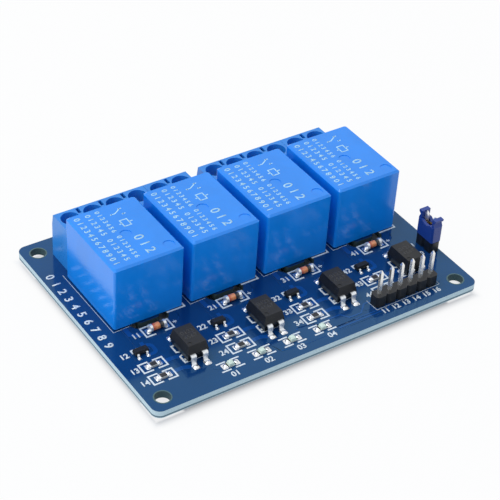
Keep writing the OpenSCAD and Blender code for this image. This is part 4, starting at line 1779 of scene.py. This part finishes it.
@dataclass
class Studio:
    """The camera, the lamps and the floor."""

    heading: float = 35.76
    elevation: float = 37.94
    roll: float = 3.85
    distance: float = 328.9
    aim: Point = (3.43, 4.08)
    lens: float = 116.63
    lamp_power: float = 3.9
    sky: float = 0.68
    sky_tint: Colour = (0.78, 0.88, 1.0)
    shade: float = -2.6
    clear: float = 1.2
    hole: Point = (34.0, 23.6)
    hole_span: Point = (2.5, 4.0)
    # Strength of the painted light on the floor under each mounting hole.
    hole_glow: float = 0.85
    glow: float = 0.93

    def build(self, plan: BoardPlan) -> None:
        """Sets up all three.

        Args:
            plan: Where the board is.
        """
        self._camera(plan)
        self._lamps()
        self._world()
        self._floor(plan)

    def _camera(self, plan: BoardPlan) -> None:
        """Stands the camera at the front left, above the board.

        Args:
            plan: Where the board is.
        """
        middle = (plan.low + plan.high) / 2
        aim = middle + Vector((*self.aim, 0))
        aim.z = plan.level
        heading = math.radians(self.heading)
        rise = math.radians(self.elevation)
        forward = Vector(
            (
                math.sin(heading) * math.cos(rise),
                math.cos(heading) * math.cos(rise),
                -math.sin(rise),
            )
        )
        place = (aim - forward * self.distance) * MM
        bpy.ops.object.camera_add(location=place)
        camera = bpy.context.object
        turn = forward.to_track_quat("-Z", "Y").to_matrix()
        turn @= Matrix.Rotation(math.radians(self.roll), 3, "Z")
        camera.rotation_euler = turn.to_euler()
        camera.data.lens = self.lens
        camera.data.clip_start, camera.data.clip_end = 0.01, 20
        bpy.context.scene.camera = camera

    def _lamps(self) -> None:
        """Hangs a large soft lamp overhead and a smaller one at the left."""
        for name, place, size, power in (
            ("overhead_lamp", (-0.25, 0.35, 0.9), 0.7, self.lamp_power),
            ("left_lamp", (-0.9, -0.1, 0.45), 0.6, self.lamp_power * 0.55),
        ):
            bpy.ops.object.light_add(type="AREA", location=place)
            lamp = bpy.context.object
            lamp.name = name
            lamp.data.shape = "DISK"
            lamp.data.size = size
            lamp.data.energy = power
            lamp.rotation_euler = (
                (-Vector(place)).to_track_quat("-Z", "Y").to_euler()
            )

    def _world(self) -> None:
        """A white room that lights the board only dimly."""
        world = bpy.data.worlds.new("white_room")
        world.use_nodes = True
        bpy.context.scene.world = world
        shader = Shader("white_room", world.node_tree)
        dim = shader.node(
            "ShaderNodeBackground",
            {},
            {"Color": self.sky_tint, "Strength": self.sky},
        )
        white = shader.node("ShaderNodeBackground", {}, {"Color": (1, 1, 1)})
        both = shader.node(
            "ShaderNodeMixShader", {}, {0: shader.seen(), 1: dim, 2: white}
        )
        shader.node("ShaderNodeOutputWorld", {}, {"Surface": both})

    def _floor(self, plan: BoardPlan) -> None:
        """A pale floor that shows white and keeps the board's shadow, with
        painted light near the board: the white glow reaches in under its edge
        and lies in a patch under each mounting hole.

        Args:
            plan: Where the board is.
        """
        bpy.ops.mesh.primitive_plane_add(size=4, location=(0, 0, 0))
        floor = bpy.context.object
        floor.name = "floor"
        shader = Shader("white_table")
        spot = shader.spot()
        across, along = abs(spot.part("X")), abs(spot.part("Y"))
        outside = (across - plan.high.x).either(along - plan.high.y)
        # Painted light: a patch of white glow on the floor under each mounting
        # hole, inside the board's shadow.
        near_hole = (abs(across - self.hole[0])).either(
            abs(along - self.hole[1])
        )
        # The glow also fades in from a little way under the board's edge, so
        # painted light covers the outer part of its shadow.
        lit = outside.spread(self.shade, self.clear).either(
            self.hole_glow * (1 - near_hole.spread(*self.hole_span))
        )
        paint = shader.node(
            "ShaderNodeBsdfDiffuse", {}, {"Color": (0.8, 0.8, 0.8)}
        )
        glow = shader.node("ShaderNodeEmission", {}, {"Color": (1, 1, 1)})
        share = shader.seen() * lit * self.glow
        both = shader.node(
            "ShaderNodeMixShader", {}, {0: share, 1: paint, 2: glow}
        )
        shader.node("ShaderNodeOutputMaterial", {}, {"Surface": both})
        floor.data.materials.append(shader.material)


# ---- Dressing -----------------------------------------------------------


class Dresser:
    """Keeps one material for each slot of the record."""

    diode_shift: float = -0.15
    diode_half: float = 1.75

    def __init__(self, plan: BoardPlan) -> None:
        """Makes every slot's finish.

        Args:
            plan: Where the parts stand.
        """
        blue = (0.005, 0.255, 0.86)
        self.materials = {
            "board_mask": SolderMask("board_mask", top=plan.level).material(),
            "solder": SolderFinish("solder").material(),
            "relay_plastic": MouldedPlastic(
                "relay_plastic", blue, gloss=0.16, index=1.55, mottle=0.04,
                skin_depth=0.0016,
            ).material(),
            "terminal_plastic": MouldedPlastic(
                "terminal_plastic", (0.02, 0.24, 0.7), gloss=0.3, mottle=0.05,
            ).material(),
            "base_plastic": MouldedPlastic(
                "base_plastic", (0.01, 0.012, 0.016), gloss=0.42
            ).material(),
            "tinned_metal": PlatedMetal(
                "tinned_metal", (0.86, 0.88, 0.9), gloss=0.3, metallic=0.7,
                stain=(0.5, 0.5, 0.5),
            ).material(),
            "iron": PlatedMetal(
                "iron", (0.52, 0.5, 0.48), gloss=0.38, drawn_along="Y"
            ).material(),
            "bobbin_plastic": MouldedPlastic(
                "bobbin_plastic", (0.55, 0.5, 0.42), gloss=0.45
            ).material(),
            "copper_wire": WoundWire("copper_wire").material(),
            "brass": PlatedMetal(
                "brass", (0.78, 0.57, 0.26), gloss=0.3, stain=(0.4, 0.25, 0.1)
            ).material(),
            "header_plastic": MouldedPlastic(
                "header_plastic", (0.006, 0.007, 0.009), gloss=0.4
            ).material(),
            "pin_metal": PlatedMetal(
                "pin_metal", (0.88, 0.87, 0.84), gloss=0.22, metallic=0.85,
                stain=(0.55, 0.52, 0.48),
            ).material(),
            "cap_plastic": MouldedPlastic(
                "cap_plastic", (0.01, 0.045, 0.26), gloss=0.3
            ).material(),
            "chip_plastic": MouldedPlastic(
                "chip_plastic", (0.005, 0.006, 0.008), gloss=0.42, index=1.46,
                skin=0.12, skin_depth=0.006, specks=0.2,
            ).material(),
            "diode_glass": TintedGlass(
                "diode_glass",
                tuple(column + self.diode_shift for column in plan.columns),
                self.diode_half,
            ).material(),
            "resistor_ceramic": Ceramic(
                "resistor_ceramic", (0.03, 0.03, 0.035)
            ).material(),
            "indicator_body": Ceramic(
                "indicator_body", (0.75, 0.8, 0.7), gloss=0.25
            ).material(),
            "screw_steel": PlatedMetal(
                "screw_steel", (0.62, 0.63, 0.65), gloss=0.3
            ).material(),
        }

    def dress(self) -> None:
        """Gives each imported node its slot's material."""
        for part in frame["record"]["subparts"]:
            node = frame["nodes"][part["node"]]
            node.data.materials.clear()
            node.data.materials.append(self.materials[part["material_slot"]])


def main() -> None:
    """Builds the scene."""
    logging.basicConfig(level=logging.INFO, format="%(name)s: %(message)s")
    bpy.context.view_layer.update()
    bpy.context.scene.view_settings.view_transform = "Standard"
    plan = BoardPlan()
    dresser = Dresser(plan)
    dresser.dress()
    ink = PrintInk("board_ink", (0.8, 0.86, 0.9)).material()
    relay_ink = PrintInk("relay_ink", (0.45, 0.75, 0.95)).material()
    track_mask = SolderMask(
        "track_mask",
        colour=(0.006, 0.07, 0.3),
        deep=(0.004, 0.055, 0.24),
        top=plan.level,
    ).material()
    olive = Ceramic("hole_ring", (0.06, 0.14, 0.15), gloss=0.3).material()
    CopperTracks(plan).build(track_mask)
    WhitePrint(plan).build(ink)
    RelayPrint(plan).build(relay_ink)
    Solder(plan).build(dresser.materials["solder"])
    tin = dresser.materials["tinned_metal"]
    dark = MouldedPlastic(
        "resistor_glaze", (0.016, 0.016, 0.018), gloss=0.35
    ).material()
    chalk = Ceramic("resistor_chip", (0.5, 0.5, 0.48)).material()
    ChipResistors(plan).build(chalk, dark, tin)
    GlassDiodes(plan).build(dresser.materials["diode_glass"], dark)
    lens = Ceramic(
        "clear_lens", (0.72, 0.86, 0.74), gloss=0.16, coat=0.6
    ).material()
    IndicatorLights(plan).build(
        dresser.materials["indicator_body"], lens, tin
    )
    burnt = Ceramic("burnt_mark", (0.035, 0.035, 0.036), gloss=0.6).material()
    ChipMarks(plan).build(burnt)
    HoleRings(plan).build(olive)
    Studio().build(plan)


if __name__ == "__main__":
    main()
